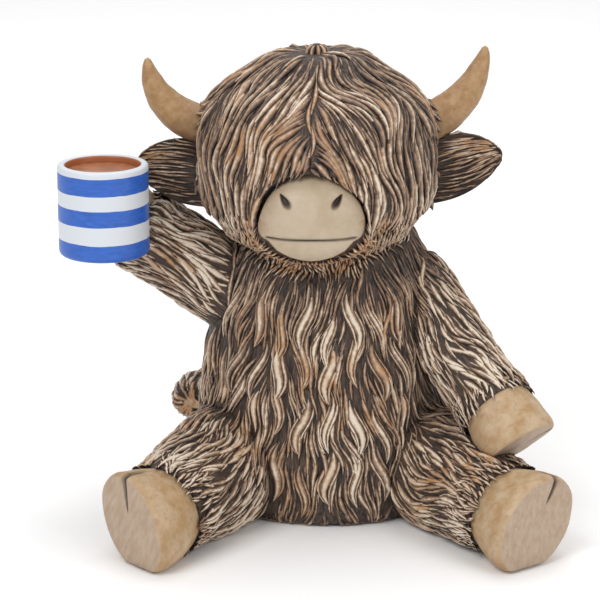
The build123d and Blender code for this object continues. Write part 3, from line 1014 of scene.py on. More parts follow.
@dataclass(frozen=True)
class MainLocks:
    """The torso's main locks: staggered tiers of ridges bent like an S, as on the casting."""

    width: float = 78.0
    bottom: float = 1.0
    height: float = 91.0
    tiers: tuple[float, ...] = (0.30, 0.47, 0.64, 0.81)
    per_tier: int = 16
    length: float = 20.0
    sway: float = 1.6
    slant: float = 4.5
    flare: float = 0.7
    stagger: float = 5.0
    stagger_phases: Pair = (5.3, 2.1)
    steps: int = 11

    def path(self, bed: HairBed, tier: int, number: float, beside: float) -> Path:
        """Follows one lock over the skin, as far as nothing covers it.

        Args:
            bed: the skin.
            tier: the lock's tier, from the lowest.
            number: its number round the torso, with a half for those between the casting's own.
            beside: how far to the side of its crest to go.

        Returns:
            The points and the skin's normals there.
        """
        turn = math.tau * (number + tier % 2 / 2) / self.per_tier
        sway = self.sway * (-1) ** (math.floor(number) + tier)
        slant = -self.slant * math.sin(2 * turn)
        phases = self.stagger_phases
        staggered = self.stagger * math.sin(phases[0] * number + phases[1] * tier)
        shift = 0.0 if number == int(number) else staggered
        points, normals = [], []
        for step in range(self.steps + 1):
            along = step / self.steps
            flank = beside * math.sin(math.pi * along) ** self.flare
            aside = slant * along + sway * math.sin(math.tau * along) + flank
            angle = turn + aside / (self.width / 2)
            level = self.bottom + self.height * self.tiers[tier] - self.length * along + shift
            outward = Vector((math.cos(angle), math.sin(angle), 0.0))
            met = bed.hit(outward * self.width + Vector((0.0, 0.0, level)), -outward)
            if met is None or met.casting != "torso":
                break
            points.append(met.point)
            normals.append(met.normal)
        return points, normals

    def paths(self, bed: HairBed, beside: float, half: float = 0.0) -> list[Path]:
        """Follows every lock that shows.

        Args:
            bed: the skin.
            beside: how far to the side of the crests to go.
            half: 0.5 for the locks between the casting's own.

        Returns:
            Each lock's points and normals.
        """
        found = []
        for tier in range(len(self.tiers)):
            for number in range(self.per_tier):
                path = self.path(bed, tier, number + half, beside)
                if len(path[0]) > FEWEST_POINTS:
                    found.append(path)
        return found


class Guides:
    """Lines that the hair round them follows."""

    REACH = 5.0
    NEAREST = 5
    STRENGTH = 0.5

    def __init__(self, paths: list[Path]) -> None:
        """Notes the heading at each step of some paths.

        Args:
            paths: the lines' points and normals.
        """
        steps = [(low, high) for points, _ in paths for low, high in zip(points, points[1:])]
        self.headings = [(high - low).normalized() for low, high in steps]
        self.tree = KDTree(len(steps))
        for number, (low, high) in enumerate(steps):
            self.tree.insert((low + high) / 2, number)
        self.tree.balance()

    def heading(self, point: Vector) -> Vector:
        """The lines' heading near a point, weaker farther off.

        Args:
            point: the point.

        Returns:
            The heading, not normalised.
        """
        total = Vector((0.0, 0.0, 0.0))
        for _, number, distance in self.tree.find_n(point, self.NEAREST):
            total += self.headings[number] * math.exp(-((distance / self.REACH) ** 2)) * self.STRENGTH
        return total

    def distance(self, point: Vector) -> float:
        """How far a point is from the nearest line."""
        return self.tree.find(point)[2]


@dataclass
class Body:
    """Where the figurine's main forms stand, for the fall of the hair."""

    head_middle: Vector = field(default_factory=lambda: Vector((-3.6, -8.0, 107.0)))
    muzzle_middle: Vector = field(default_factory=lambda: Vector((-5.0, -40.0, 97.2)))
    shoulders: dict = field(default_factory=lambda: {
        Side.RIGHT: Vector((-23.4, -1.5, 62.4)), Side.LEFT: Vector((23.4, -1.5, 69.3)),
    })
    wrists: dict = field(default_factory=lambda: {
        Side.RIGHT: Vector((-57.4, -1.5, 85.1)), Side.LEFT: Vector((49.8, -34.5, 37.8)),
    })
    hips: dict = field(default_factory=lambda: {
        Side.RIGHT: Vector((-23.4, -5.8, 15.5)), Side.LEFT: Vector((23.4, -5.8, 15.5)),
    })
    ankles: dict = field(default_factory=lambda: {
        Side.RIGHT: Vector((-48.9, -54.3, 13.3)), Side.LEFT: Vector((51.9, -54.3, 13.3)),
    })
    parting_start: float = -4.6
    parting_drift: float = 1.4
    parting_levels: Pair = (136.0, 112.0)
    parting_waver: float = 0.5
    parting_pitch: float = 3.0

    def parting(self, level: float) -> float:
        """Where the fringe parts at a level, wandering to the right side on its way down."""
        drift = self.parting_drift * ease(*self.parting_levels, level)
        return self.parting_start - drift + self.parting_waver * math.sin(level / self.parting_pitch)

    def leg_share(self, side: Side, point: Vector) -> float:
        """How far along a leg a point lies, 0 at the hip and 1 at the ankle."""
        return share_along(self.hips[side], self.ankles[side], point)

    def arm_share(self, side: Side, point: Vector) -> float:
        """How far along an arm a point lies, 0 at the shoulder and 1 at the wrist."""
        return share_along(self.shoulders[side], self.wrists[side], point)


class HairFall:
    """The directions in which the hair falls, and how strongly it was dry-brushed, with painted shade under
    the chin.
    """

    DOWN = Vector((0.0, 0.0, -1.0))

    def __init__(self, body: Body, guides: Guides) -> None:
        """Takes the places of the main forms and the torso's main locks."""
        self.body = body
        self.guides = guides

    def torso(self, point: Vector, normal: Vector) -> Vector:
        """Along the main locks, and between them down and out over the thighs.

        Args:
            point: a point of the skin.
            normal: the skin's normal there; not used.

        Returns:
            The direction, not normalised.
        """
        right = ease(6.0, 28.0, -point.x)
        left = ease(10.0, 30.0, point.x)
        front = ease(10.0, -10.0, point.y)
        sideways = (left - right) * (0.15 + 0.6 * bell(point.z, 36.0, 34.0)) * front
        spread = 0.5 * ease(16.0, 2.0, point.z)
        outward = Vector((point.x, point.y, 0.0)).normalized() * spread
        return (self.DOWN + Vector((sideways, 0.0, 0.0)) + outward) * 0.6 + self.guides.heading(point)

    def fringe(self, point: Vector, normal: Vector) -> Vector:
        """Out from the crown, off a parting at the front, and down the sides.

        Args:
            point: a point of the skin.
            normal: the skin's normal there; not used.

        Returns:
            The direction, not normalised.
        """
        middle = self.body.head_middle
        outward = Vector((point.x - middle.x, point.y - middle.y, 0.0)).normalized()
        aside = point.x - self.body.parting(point.z)
        front = ease(4.0, -12.0, point.y - middle.y) * ease(139.0, 130.0, point.z)
        swept = math.copysign(0.85 * math.exp(-abs(aside) / 11.0) + 0.1, aside)
        crown = 0.25 + 0.95 * ease(110.0, 134.0, point.z)
        lower = 0.2 + 0.8 * ease(98.0, 116.0, point.z)
        return outward * crown + self.DOWN + Vector((swept * front * lower, 0.0, 0.0))

    def hem(self, point: Vector, normal: Vector) -> Vector:
        """In under the fringe towards the jaw."""
        inward = self.body.head_middle - point
        return Vector((inward.x, inward.y, 0.0)).normalized() + self.DOWN * 0.6

    def jaw(self, point: Vector, normal: Vector) -> Vector:
        """Down beside the muzzle, and away from it below the mouth.

        Args:
            point: a point of the skin.
            normal: the skin's normal there; not used.

        Returns:
            The direction, not normalised.
        """
        away = point - self.body.muzzle_middle
        below = ease(2.0, -8.0, away.z)
        aside = Vector((away.x, 4.0, away.z)).normalized() * (0.25 + 0.75 * below)
        return aside + self.DOWN * (1.1 - 0.7 * below)

    def limb(self, start: Vector, end: Vector, droop: float) -> Direction:
        """Along a limb from its start to its end, drooping a little."""
        axis = (end - start).normalized()
        return lambda point, normal: axis + self.DOWN * droop

    def leg(self, side: Side, point: Vector, normal: Vector) -> Vector:
        """Down from the hip, turning along the leg towards the hoof.

        Args:
            side: the leg's side.
            point: a point of the skin.
            normal: the skin's normal there; not used.

        Returns:
            The direction, not normalised.
        """
        axis = (self.body.ankles[side] - self.body.hips[side]).normalized()
        turn = ease(0.2, 0.8, self.body.leg_share(side, point))
        hanging = self.DOWN * 0.9 + axis * 0.55 + Vector((side.value * 0.15, 0.0, 0.0))
        return hanging.normalized() * (1 - turn) + axis * turn

    def tail(self, point: Vector, normal: Vector) -> Vector:
        """Round the torso towards the tuft."""
        return Vector((-point.y, point.x, 0.0)).normalized() + Vector((0.0, 0.0, 0.1))

    def ear(self, side: Side) -> Direction:
        """From the root of an ear to its tip."""
        return lambda point, normal: Vector((side.value, 0.1, 0.12))

    def torso_tone(self, point: Vector) -> Pair:
        """Brightest on the main locks of the chest, with painted shade under the chin, and darker along the
        hem.

        Args:
            point: a lock's root.

        Returns:
            Brightness and warmth.
        """
        # Brightest across the middle of the chest's front; its falloff under the chin is painted shade
        chest = bell(point.x, 2.0, 36.0) * bell(point.z, 44.0, 46.0) * ease(8.0, -20.0, point.y)
        ridge = math.exp(-((self.guides.distance(point) / 2.2) ** 2))
        bright = 0.22 + 0.28 * chest + 0.24 * ripple(point, 15.0) + 0.12 * ridge
        warm = ease(-0.05, 0.5, ripple(point, 19.0, 3.0) + 0.25 * chest)
        return bright, warm

    def fringe_tone(self, point: Vector) -> Pair:
        """Evenly brushed, with warmer locks mixed in."""
        return 0.29 + 0.36 * ripple(point, 12.0, 5.0), ease(-0.2, 0.45, ripple(point, 13.0, 7.0))

    def jaw_tone(self, point: Vector) -> Pair:
        """Warm beside and under the muzzle."""
        near = 1 - ease(16.0, 30.0, (point - self.body.muzzle_middle).length)
        return 0.36 + 0.2 * near + 0.25 * ripple(point, 6.0, 2.0), 0.4 + 1.1 * near

    def limb_tone(self, point: Vector) -> Pair:
        """Brown, with some locks brushed more."""
        return 0.56 + 0.3 * ripple(point, 13.0, 9.0), ease(-0.1, 0.5, ripple(point, 16.0, 11.0))

    def ear_tone(self, point: Vector) -> Pair:
        """Dark in the cup and warm along the upper rim."""
        rim = ease(103.0, 109.0, point.z)
        return 0.26 + 0.4 * rim + 0.2 * ripple(point, 5.0), 0.2 + 0.7 * rim


class HairCoat:
    """The whole coat of locks, region by region."""

    TURN_LIMIT = 0.1
    TRIMMED = 0.35
    CALMED = 0.25
    CLEARANCE = 0.4
    ABOVE_FLOOR = 2.0
    ARM_DROOP = 0.15
    BRIGHT_SPREAD = 0.4
    WARM_SPREAD = 0.5
    WARMEST = 1.6
    THINNEST = 0.05
    PARTING = (138.0, 108.0)
    PARTING_TOPS = (136.5, 131.5, 125.5, 119.5)
    PARTING_LENGTH = 9.5
    PARTING_BOW = 0.7
    PARTING_GAP = 0.15
    PARTING_SPACINGS = (0.8, 1.8)
    PARTING_POINTS = 9
    MAIN_WIDTH = 0.8
    MAIN_WIDTH_SPREAD = 0.4
    MAIN_BRIGHT_SPREAD = 0.35
    MAIN_LIFT = (-0.5, 0.3)
    FRINGE_FACING = -0.3
    HEM_FACING = -0.25
    UNDERSIDE_FACING = -0.75
    TORSO_HEM = 2.5
    BESIDE_LOCK = 1.6
    ROOT_WIDTH = 0.3
    WIDEST_AT = 0.5
    TIP_POWERS = (3.2, 0.8)
    RAISED_AT = 0.7
    # Each row of the crown's knot: its radius, then its level
    CROWN_ROWS = ((4.6, 136.4), (3.5, 138.2), (2.9, 139.8), (2.5, 141.0), (1.7, 141.9), (0.4, 142.3))
    CROWN_LOCKS = 9
    CROWN_TILT = 1.6
    CROWN_TILT_LOSS = 0.35
    CROWN_BRIGHT = 0.55
    CROWN_BRIGHT_SPREAD = 0.5
    CROWN_SEED = 11
    MAIN_SEED = 5
    SEED_STEP = 100
    GROW_SEED = 7

    def __init__(self, bed: HairBed, body: Body, muzzle: "Muzzle", coat: Material) -> None:
        """Takes the skin, the main forms, the muzzle and the paint.

        Args:
            bed: the skin.
            body: the main forms.
            muzzle: the muzzle, which stays free of hair.
            coat: the paint of the locks.
        """
        self.bed = bed
        self.body = body
        self.muzzle = muzzle
        self.coat = coat
        self.tree = LockTree()
        self.main_locks = MainLocks()
        self.guides = Guides(self.main_locks.paths(bed, 0.0) + self.main_locks.paths(bed, 0.0, 0.5))
        self.fall = HairFall(body, self.guides)

    def regions(self) -> list[HairRegion]:
        """Lists the coat's regions.

        Returns:
            The regions in the order in which they are made.
        """
        fall, muzzle = self.fall, self.muzzle
        trunk = ("torso", "right_leg", "left_leg", "right_arm", "left_arm")
        regions = [
            HairRegion(
                "torso", ("torso",), trunk, fall.torso, fall.torso_tone, CoatStyles.TORSO, 0.8,
                self.is_between_locks, split_at=0.0,
            ),
            HairRegion(
                "fringe", ("fringe",), ("fringe",), fall.fringe, fall.fringe_tone, CoatStyles.FRINGE, 4.5,
                lambda point, normal: normal.z > self.FRINGE_FACING, split_at=-8.0, lowest_facing=-0.45,
                trimmed=muzzle.is_under, swing_seed=9.0, calmed=muzzle.is_near,
            ),
            HairRegion(
                "fringe_hem", ("fringe",), ("fringe", "head", "torso"), fall.hem, fall.jaw_tone,
                CoatStyles.CHEEK, 0.8, lambda point, normal: normal.z < self.HEM_FACING,
            ),
            HairRegion("jaw", ("head",), ("head", "torso"), fall.jaw, fall.jaw_tone, CoatStyles.JAW, 0.8),
            HairRegion(
                "cheek", ("muzzle",), ("muzzle", "head", "torso", "fringe"), fall.jaw, fall.jaw_tone,
                CoatStyles.CHEEK, 0.8, lambda point, normal: muzzle.is_cheek(point),
            ),
            HairRegion("tail", ("tail",), ("tail",), fall.tail, fall.limb_tone, CoatStyles.TAIL, 2.0),
        ]
        for side in Side:
            regions += self.side_regions(side)
        return regions

    def side_regions(self, side: Side) -> list[HairRegion]:
        """Lists the regions of one side: leg and arm, each with a cuff of tufts, and ear.

        Args:
            side: the cow's own side.

        Returns:
            The regions in the order in which they are made.
        """
        fall, body = self.fall, self.body
        leg, arm, ear = (f"{side.name.lower()}_{part}" for part in ("leg", "arm", "ear"))
        down_arm = fall.limb(body.shoulders[side], body.wrists[side], self.ARM_DROOP)
        # Each row: limb, fall, place along it, where the coat ends and the cuff starts, the cuff's overhang
        limbs = (
            (leg, partial(fall.leg, side), body.leg_share, 0.86, 0.8, 2.6),
            (arm, down_arm, body.arm_share, 0.88, 0.82, 2.2),
        )
        regions = []
        for limb, falls, share, coat_end, cuff_start, overhang in limbs:
            regions.append(HairRegion(
                limb, (limb,), (limb, "torso"), falls, fall.limb_tone, CoatStyles.LIMB, 0.6,
                lambda point, normal, share=share, end=coat_end:
                    share(side, point) < end and point.z > self.ABOVE_FLOOR,
            ))
            regions.append(HairRegion(
                f"{limb}_cuff", (limb,), (limb,), falls, fall.limb_tone, CoatStyles.CUFF, overhang,
                lambda point, normal, share=share, start=cuff_start:
                    share(side, point) > start and point.z > self.ABOVE_FLOOR,
            ))
        regions.append(HairRegion(ear, (ear,), (ear,), fall.ear(side), fall.ear_tone, CoatStyles.EAR, 0.6))
        return regions

    def is_between_locks(self, point: Vector, normal: Vector) -> bool:
        """Whether a point of the torso lies clear of its main locks, its hem and its underside."""
        above = point.z > self.TORSO_HEM and normal.z > self.UNDERSIDE_FACING
        return above and self.guides.distance(point) > self.BESIDE_LOCK

    def build(self) -> None:
        """Models each region's layers as pieces, then the main locks, the parting and the crown."""
        for number, region in enumerate(self.regions()):
            for layer, style in enumerate(region.styles):
                seed = self.SEED_STEP * number + layer
                roots = self.bed.scatter(region.rooted_in, style.spacing, seed)
                if region.name == "fringe":
                    roots += self.parting_roots(self.PARTING_SPACINGS[layer])
                strands = self.grow(region, style, roots, seed)
                if region.split_at is None:
                    self.model(f"{region.name}_{style.layer}_locks", strands)
                    continue
                back = [strand.points[0].y >= region.split_at for strand in strands]
                for part, behind in (("front", False), ("back", True)):
                    chosen = [strand for strand, there in zip(strands, back) if there is behind]
                    self.model(f"{region.name}_{part}_{style.layer}_locks", chosen)
        self.model("torso_main_locks", self.main_strands())
        self.model("parting_locks", self.parting_strands())
        self.model("crown_tuft_locks", self.crown_strands())

    def parting_roots(self, spacing: float) -> list[Vector]:
        """Roots close to both sides of the parting, so that the locks meet there.

        Args:
            spacing: the distance from one root to the next.

        Returns:
            The roots.
        """
        roots = []
        for level in np.arange(*self.PARTING, -spacing):
            for side in Side:
                met = self.bed.seen(self.body.parting(level) + self.PARTING_GAP * side.value, level)
                if met is not None and met.casting == "fringe":
                    roots.append(met.point)
        return roots

    def parting_strands(self) -> list[Strand]:
        """Locks that hang along the parting itself.

        Returns:
            Their strands.
        """
        strands = []
        for number, top in enumerate(self.PARTING_TOPS):
            points, lies = [], []
            for level in np.linspace(top, top - self.PARTING_LENGTH, self.PARTING_POINTS):
                share = (top - level) / self.PARTING_LENGTH
                bow = self.PARTING_BOW * (-1) ** number * math.sin(share * math.pi)
                met = self.bed.seen(self.body.parting(level) + bow, level)
                if met is None or met.casting != "fringe":
                    break
                points.append(met.point)
                lies.append(met.normal)
            if len(points) > FEWEST_POINTS:
                strands.append(Strand(points, lies, half_width=1.0, lift=(-0.3, 0.1), bright=0.45, warm=1.0))
        return strands

    def main_strands(self) -> list[Strand]:
        """The torso's main locks, each a crest between two flanks.

        Returns:
            Their strands.
        """
        rng = np.random.default_rng(self.MAIN_SEED)
        # Each row: how far beside the crest, 0.5 for a lock in between, the half width, the brightness
        ridges = (
            (0.0, 0.0, 1.55, 0.22), (1.9, 0.0, 0.8, 0.0), (-1.9, 0.0, 0.8, 0.0),
            (0.0, 0.5, 1.25, 0.12), (1.5, 0.5, 0.65, -0.05), (-1.5, 0.5, 0.65, -0.05),
        )
        strands = []
        for beside, half, half_width, bright in ridges:
            for points, normals in self.main_locks.paths(self.bed, beside, half):
                tone, warm = self.fall.torso_tone(points[len(points) // 2])
                wider, brighter, warmer = rng.random(3)
                width = half_width * (self.MAIN_WIDTH + self.MAIN_WIDTH_SPREAD * wider)
                bright_here = tone + bright + self.MAIN_BRIGHT_SPREAD * (brighter - 0.5)
                warm_here = min(1.0, max(0.0, warm + self.WARM_SPREAD * (warmer - 0.5)))
                strands.append(Strand(points, normals, width, self.MAIN_LIFT, bright_here, warm_here))
        return strands

    def crown_strands(self) -> list[Strand]:
        """The knot of short locks on the crown.

        Returns:
            Their strands.
        """
        middle = self.body.head_middle
        rng = np.random.default_rng(self.CROWN_SEED)
        strands = []
        for number in range(self.CROWN_LOCKS):
            angle = math.tau * number / self.CROWN_LOCKS
            spoke = Vector((math.cos(angle), math.sin(angle), 0.0))
            points, lies = [], []
            for radius, level in self.CROWN_ROWS:
                points.append(Vector((middle.x, middle.y, level)) + spoke * radius)
                tilt = Vector((0.0, 0.0, self.CROWN_TILT - self.CROWN_TILT_LOSS * radius))
                lies.append((spoke + tilt).normalized())
            bright = self.CROWN_BRIGHT + self.CROWN_BRIGHT_SPREAD * (rng.random() - 0.5)
            strands.append(Strand(points, lies, half_width=1.0, lift=(0.0, 0.0), bright=bright, warm=0.6))
        return strands

    def grow(self, region: HairRegion, style: LockStyle, roots: list[Vector], seed: int) -> list[Strand]:
        """Traces the strands of one layer.

        Args:
            region: the stretch of coat.
            style: the layer's locks.
            roots: where they start.
            seed: the seed of the random draws.

        Returns:
            The strands.
        """
        rng = np.random.default_rng(seed + self.GROW_SEED)
        strands = []
        for root in roots:
            _, normal, _, _ = self.bed.tree.find_nearest(root)
            draws = rng.random(5)
            if not region.within(root, normal):
                continue
            strand = self.trace(region, style, root, normal, draws)
            if len(strand.points) >= FEWEST_POINTS:
                strands.append(strand)
        return strands

    def trace(
        self, region: HairRegion, style: LockStyle, root: Vector, normal: Vector, draws: Array
    ) -> Strand:
        """Follows the fall of the hair over the skin from one root.

        Args:
            region: the stretch of coat.
            style: the layer's locks.
            root: where the lock starts.
            normal: the skin's normal there.
            draws: random numbers from 0 to 1 for this lock.

        Returns:
            The strand, which is short where it soon meets something.
        """
        longer, wider, brighter, warmer, higher = draws
        step = mix(style.length, longer) / style.segments
        points, lies = [root], [normal]
        heading = None
        point = root
        hanging = 0.0
        for _ in range(style.segments):
            wave = style.wave * (self.CALMED if region.calmed(point) else 1.0)
            swing = 2 * math.radians(wave) * ripple(point, style.wave_size, region.swing_seed)
            wanted = region.falls(point, normal)
            wanted = (wanted - normal * wanted.dot(normal)).normalized()
            wanted = Quaternion(normal, swing) @ wanted
            if heading is not None:
                wanted = heading * style.inertia + wanted * (1 - style.inertia)
            heading = wanted.normalized()
            ahead = point + heading * step
            spot, facing, face, _ = self.bed.tree.find_nearest(ahead)
            follows = facing.dot(normal) > self.TURN_LIMIT and facing.z > region.lowest_facing
            if follows and self.bed.owner(face) in region.runs_over:
                point, normal = spot, facing
            else:
                hanging += step
                if hanging > region.overhang * (self.TRIMMED if region.trimmed(point) else 1.0):
                    break
                depth = (ahead - spot).dot(facing)
                point = ahead + facing * max(0.0, self.CLEARANCE - depth)
            points.append(point)
            lies.append(normal)
        bright, warm = region.tone(root)
        half_width = mix(style.half_width, wider)
        bright += style.bright + self.BRIGHT_SPREAD * (brighter - 0.5)
        warm = min(self.WARMEST, max(0.0, warm + self.WARM_SPREAD * (warmer - 0.5)))
        rise = style.lift_spread * higher
        return Strand(points, lies, half_width, (style.lift[0] + rise, style.lift[1] + rise), bright, warm)

    def taper(self, along: float) -> float:
        """How wide a lock is at a place, as a share of its widest: slim at the root, pointed at the tip."""
        opened = mix((self.ROOT_WIDTH, 1.0), ease(0.0, self.WIDEST_AT, along))
        return opened * (1 - along ** self.TIP_POWERS[0]) ** self.TIP_POWERS[1]

    def model(self, name: str, strands: list[Strand]) -> None:
        """Turns strands into one piece of the coat.

        Args:
            name: the piece's name.
            strands: the strands' centre lines.
        """
        points, edges, lies = [], [], []
        columns = {"half_width": [], "along": [], "bright": [], "warm": []}
        for strand in strands:
            last = len(strand.points) - 1
            for number, (point, lie) in enumerate(zip(strand.points, strand.lies)):
                along = number / last
                rise = mix(strand.lift, ease(0.0, self.RAISED_AT, along))
                if number:
                    edges.append((len(points) - 1, len(points)))
                half_width = max(self.THINNEST, strand.half_width * self.taper(along)) * MM
                points.append(within_box((point + lie * rise) * MM, half_width))
                lies.append(lie)
                for column, value in zip(columns.values(), (half_width, along, strand.bright, strand.warm)):
                    column.append(value)
        mesh = bpy.data.meshes.new(name)
        mesh.from_pydata(points, edges, [])
        for key, values in columns.items():
            store(mesh, key, np.array(values))
        layer = mesh.attributes.new("lie", "FLOAT_VECTOR", "POINT")
        layer.data.foreach_set("vector", np.array(lies, np.float32).ravel())
        place_piece(name, self.tree.sweep(mesh, self.coat))


@dataclass
class Muzzle:
    """The smooth muzzle: an egg-shaped outline that swells forward, with nostrils and a mouth."""

    half_width: float = 16.0
    upper: float = 19.1
    lower: float = 7.4
    widest: float = -5.8
    swell: float = 9.0
    wall: float = 13.0
    lean: float = -0.4
    nostril: Pair = (7.5, 6.0)
    nostril_size: Pair = (2.6, 1.15)
    nostril_slant: float = 36.0
    nostril_depth: float = 2.2
    nostril_narrowing: float = 0.55
    nostril_steepness: float = 1.25
    mouth_level: float = -4.9
    mouth_half: float = 13.6
    mouth_depth: float = 1.5
    mouth_gap: float = 0.5
    mouth_sag: float = 0.35
    mouth_end: float = 1.2
    lip_blend: float = 0.5
    lip_set_back: float = 0.9
    bridge: float = 0.3
    bridge_level: float = 7.6
    skin_set_back: float = 0.9
    skin_blend: float = 0.5
    roundness: float = 2.8
    wall_taper: float = 0.08
    # Where the brown rim starts and how wide it is; the upper half gets a smaller share, as the lower half
    # carries painted shade
    edge_start: float = 0.78
    edge_band: float = 0.2
    upper_edge: float = 0.45
    grid: int = 121
    # Half the width, then the height above the middle, that bound the fringe's arch, surround and cheeks
    ARCH = (9.0, 5.0)
    SURROUND = (20.0, 17.0)
    CHEEK = (9.5, 6.0)
    FRONT = -20.0
    FACE_EDGE = 0.2
    NOT_FACE = -9.0
    CROWDING = 0.86
    WALL_SHARES = (0.25, 0.6, 1.0)
    # Each row: height above the middle, then half the width of the cream face there
    face: tuple = (
        (-11.7, 0.0), (-11.4, 2.8), (-10.3, 6.4), (-8.4, 9.8), (-5.6, 12.4), (-4.9, 14.2), (-3.6, 15.1),
        (0.1, 15.6), (4.9, 14.9), (7.2, 13.9), (9.6, 12.0), (11.2, 9.6), (12.7, 5.5), (13.2, 0.0),
    )

    def __post_init__(self) -> None:
        """Measures where the casting's front stands."""
        low, high = (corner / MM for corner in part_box("muzzle"))
        self.middle = Vector(((low.x + high.x) / 2, low.y, (low.z + high.z) / 2))

    def margin(self, across: Array, level: Array) -> Array:
        """How far places lie outside the cream face, in millimetres.

        Args:
            across: places to the side.
            level: places up.

        Returns:
            The distances, negative inside.
        """
        rows = np.array(self.face)
        half = np.interp(level, rows[:, 0], rows[:, 1], left=self.NOT_FACE, right=self.NOT_FACE)
        return np.abs(across - self.lean) - half

    def is_under(self, point: Vector) -> bool:
        """Whether the muzzle lies below a point of the fringe."""
        inside = abs(point.x - self.middle.x - self.lean) < self.ARCH[0] and point.y < self.FRONT
        return inside and point.z > self.middle.z + self.ARCH[1]

    def is_near(self, point: Vector) -> bool:
        """Whether a point of the fringe lies beside or just above the muzzle."""
        beside = abs(point.x - self.middle.x) < self.SURROUND[0] and point.y < self.FRONT
        return beside and point.z < self.middle.z + self.SURROUND[1]

    def is_cheek(self, point: Vector) -> bool:
        """Whether a point of the skin lies beside or below the cream face."""
        low = point.z < self.middle.z + self.CHEEK[1]
        return (low or abs(point.x - self.middle.x - self.lean) > self.CHEEK[0]) and not self.shows(point)

    def shows(self, point: Vector) -> bool:
        """Whether a point of the skin belongs to the cream face."""
        return float(self.margin(point.x - self.middle.x, point.z - self.middle.z)) < self.FACE_EDGE

    def outline(self) -> tuple[Array, Array, Array]:
        """Spreads a square grid over the egg.

        Returns:
            The places across and up, and how near each is to the rim.
        """
        turns = np.linspace(-1, 1, self.grid) * math.pi / 2 * self.CROWDING
        line = np.sin(turns) / math.sin(math.pi / 2 * self.CROWDING)
        right, up = np.meshgrid(line, line)
        across = right * np.sqrt(1 - up ** 2 / 2)
        rise = up * np.sqrt(1 - right ** 2 / 2)
        reach = np.sqrt(across ** 2 + rise ** 2)
        level = np.where(rise > 0, rise * self.upper, rise * self.lower) + self.widest
        return across * self.half_width, level, np.clip(reach, 0, 1)

    def build(self, paint_made: Material) -> None:
        """Models the muzzle in place of its casting.

        Args:
            paint_made: its paint.
        """
        middle = self.middle
        across, level, reach = (values.ravel() for values in self.outline())
        skin = np.clip(self.margin(across, level) / self.skin_blend + 0.5, 0, 1)
        depth = self.swell * (1 - np.sqrt(np.clip(1 - reach ** self.roundness, 0, 1)))
        depth += self.bridge * np.clip(level - self.bridge_level, 0, None) * (1 - 0.5 * reach)
        hollow = np.zeros_like(depth)
        for side in Side:
            inside = self.nostril_hole(across - self.lean, level, side)
            depth += self.nostril_depth * inside
            hollow = np.maximum(hollow, inside)
        mouth = self.mouth_line(across - self.lean, level)
        lip = 1 / (1 + np.exp((level - self.mouth_level) / self.lip_blend))
        depth += self.mouth_depth * mouth + self.lip_set_back * lip * (1 - reach ** 4)
        depth += self.skin_set_back * skin
        front = np.stack([across + middle.x, depth + middle.y, level + middle.z], axis=1)
        points, faces = self.close(front)
        mesh = mesh_of("muzzle", points, faces)
        rest = len(points) - len(front)
        # Dark paint and painted shade in the nostrils and along the mouth
        store(mesh, "hollow", np.append(np.maximum(hollow ** 0.7, mouth), np.zeros(rest)))
        # Brown round the rim, deepened on the lower half as painted shade
        edge = np.clip((reach - self.edge_start) / self.edge_band, 0, 1)
        edge *= np.where(level < 0, 1.0, self.upper_edge)
        store(mesh, "edge", np.append(edge, np.ones(rest)))
        store(mesh, "skin", np.append(skin, np.ones(rest)))
        place_form("muzzle", mesh, paint_made)

    def nostril_hole(self, across: Array, level: Array, side: Side) -> Array:
        """A slanted teardrop, narrow at its outer upper end.

        Args:
            across: places to the side.
            level: places up.
            side: which nostril.

        Returns:
            How deep each place lies in it, from 0 to 1.
        """
        slant = math.radians(self.nostril_slant) * side.value
        right = across - side.value * self.nostril[0]
        up = level - self.nostril[1]
        along = up * math.cos(slant) + right * math.sin(slant)
        beside = right * math.cos(slant) - up * math.sin(slant)
        narrowing = 1 - self.nostril_narrowing * np.clip(along / self.nostril_size[0], -0.4, 1)
        spread = (along / self.nostril_size[0]) ** 2 + (beside / (self.nostril_size[1] * narrowing)) ** 2
        return np.clip(self.nostril_steepness * (1 - spread), 0, 1)

    def mouth_line(self, across: Array, level: Array) -> Array:
        """A thin, almost straight groove.

        Args:
            across: places to the side.
            level: places up.

        Returns:
            How deep each place lies in it, from 0 to 1.
        """
        sag = self.mouth_level + self.mouth_sag * (across / self.mouth_half) ** 2
        ends = 1 - np.clip((np.abs(across) - self.mouth_half + self.mouth_end) / self.mouth_end, 0, 1)
        return np.clip(1 - np.abs(level - sag) / self.mouth_gap, 0, 1) * ends

    def close(self, front: Array) -> tuple[Array, Faces]:
        """Adds the side wall and the back to the front grid.

        Args:
            front: the grid's points, row by row from the bottom.

        Returns:
            All points and faces.
        """
        size = self.grid
        faces = []
        for row in range(size - 1):
            for column in range(size - 1):
                corner = row * size + column
                faces.append((corner, corner + 1, corner + size + 1, corner + size))
        bottom = list(range(size))
        right = list(range(2 * size - 1, size * size, size))
        top = list(range(size * size - 2, size * (size - 1) - 1, -1))
        left = list(range(size * (size - 2), 0, -size))
        rim = bottom + right + top + left
        middle = front[rim].mean(axis=0)
        walls = []
        for share in self.WALL_SHARES:
            ring = middle + (front[rim] - middle) * (1 - self.wall_taper * share)
            ring[:, 1] = front[rim][:, 1] + self.wall * share
            walls.append(ring)
        pole = len(front) + len(walls) * len(rim)
        starts = range(len(front), pole, len(rim))
        rings = [rim] + [list(range(start, start + len(rim))) for start in starts]
        faces += ring_faces(rings, True) + cap_faces(rings[-1], pole, True)
        back = walls[-1].mean(axis=0, keepdims=True)
        return np.concatenate([front, *walls, back]), faces


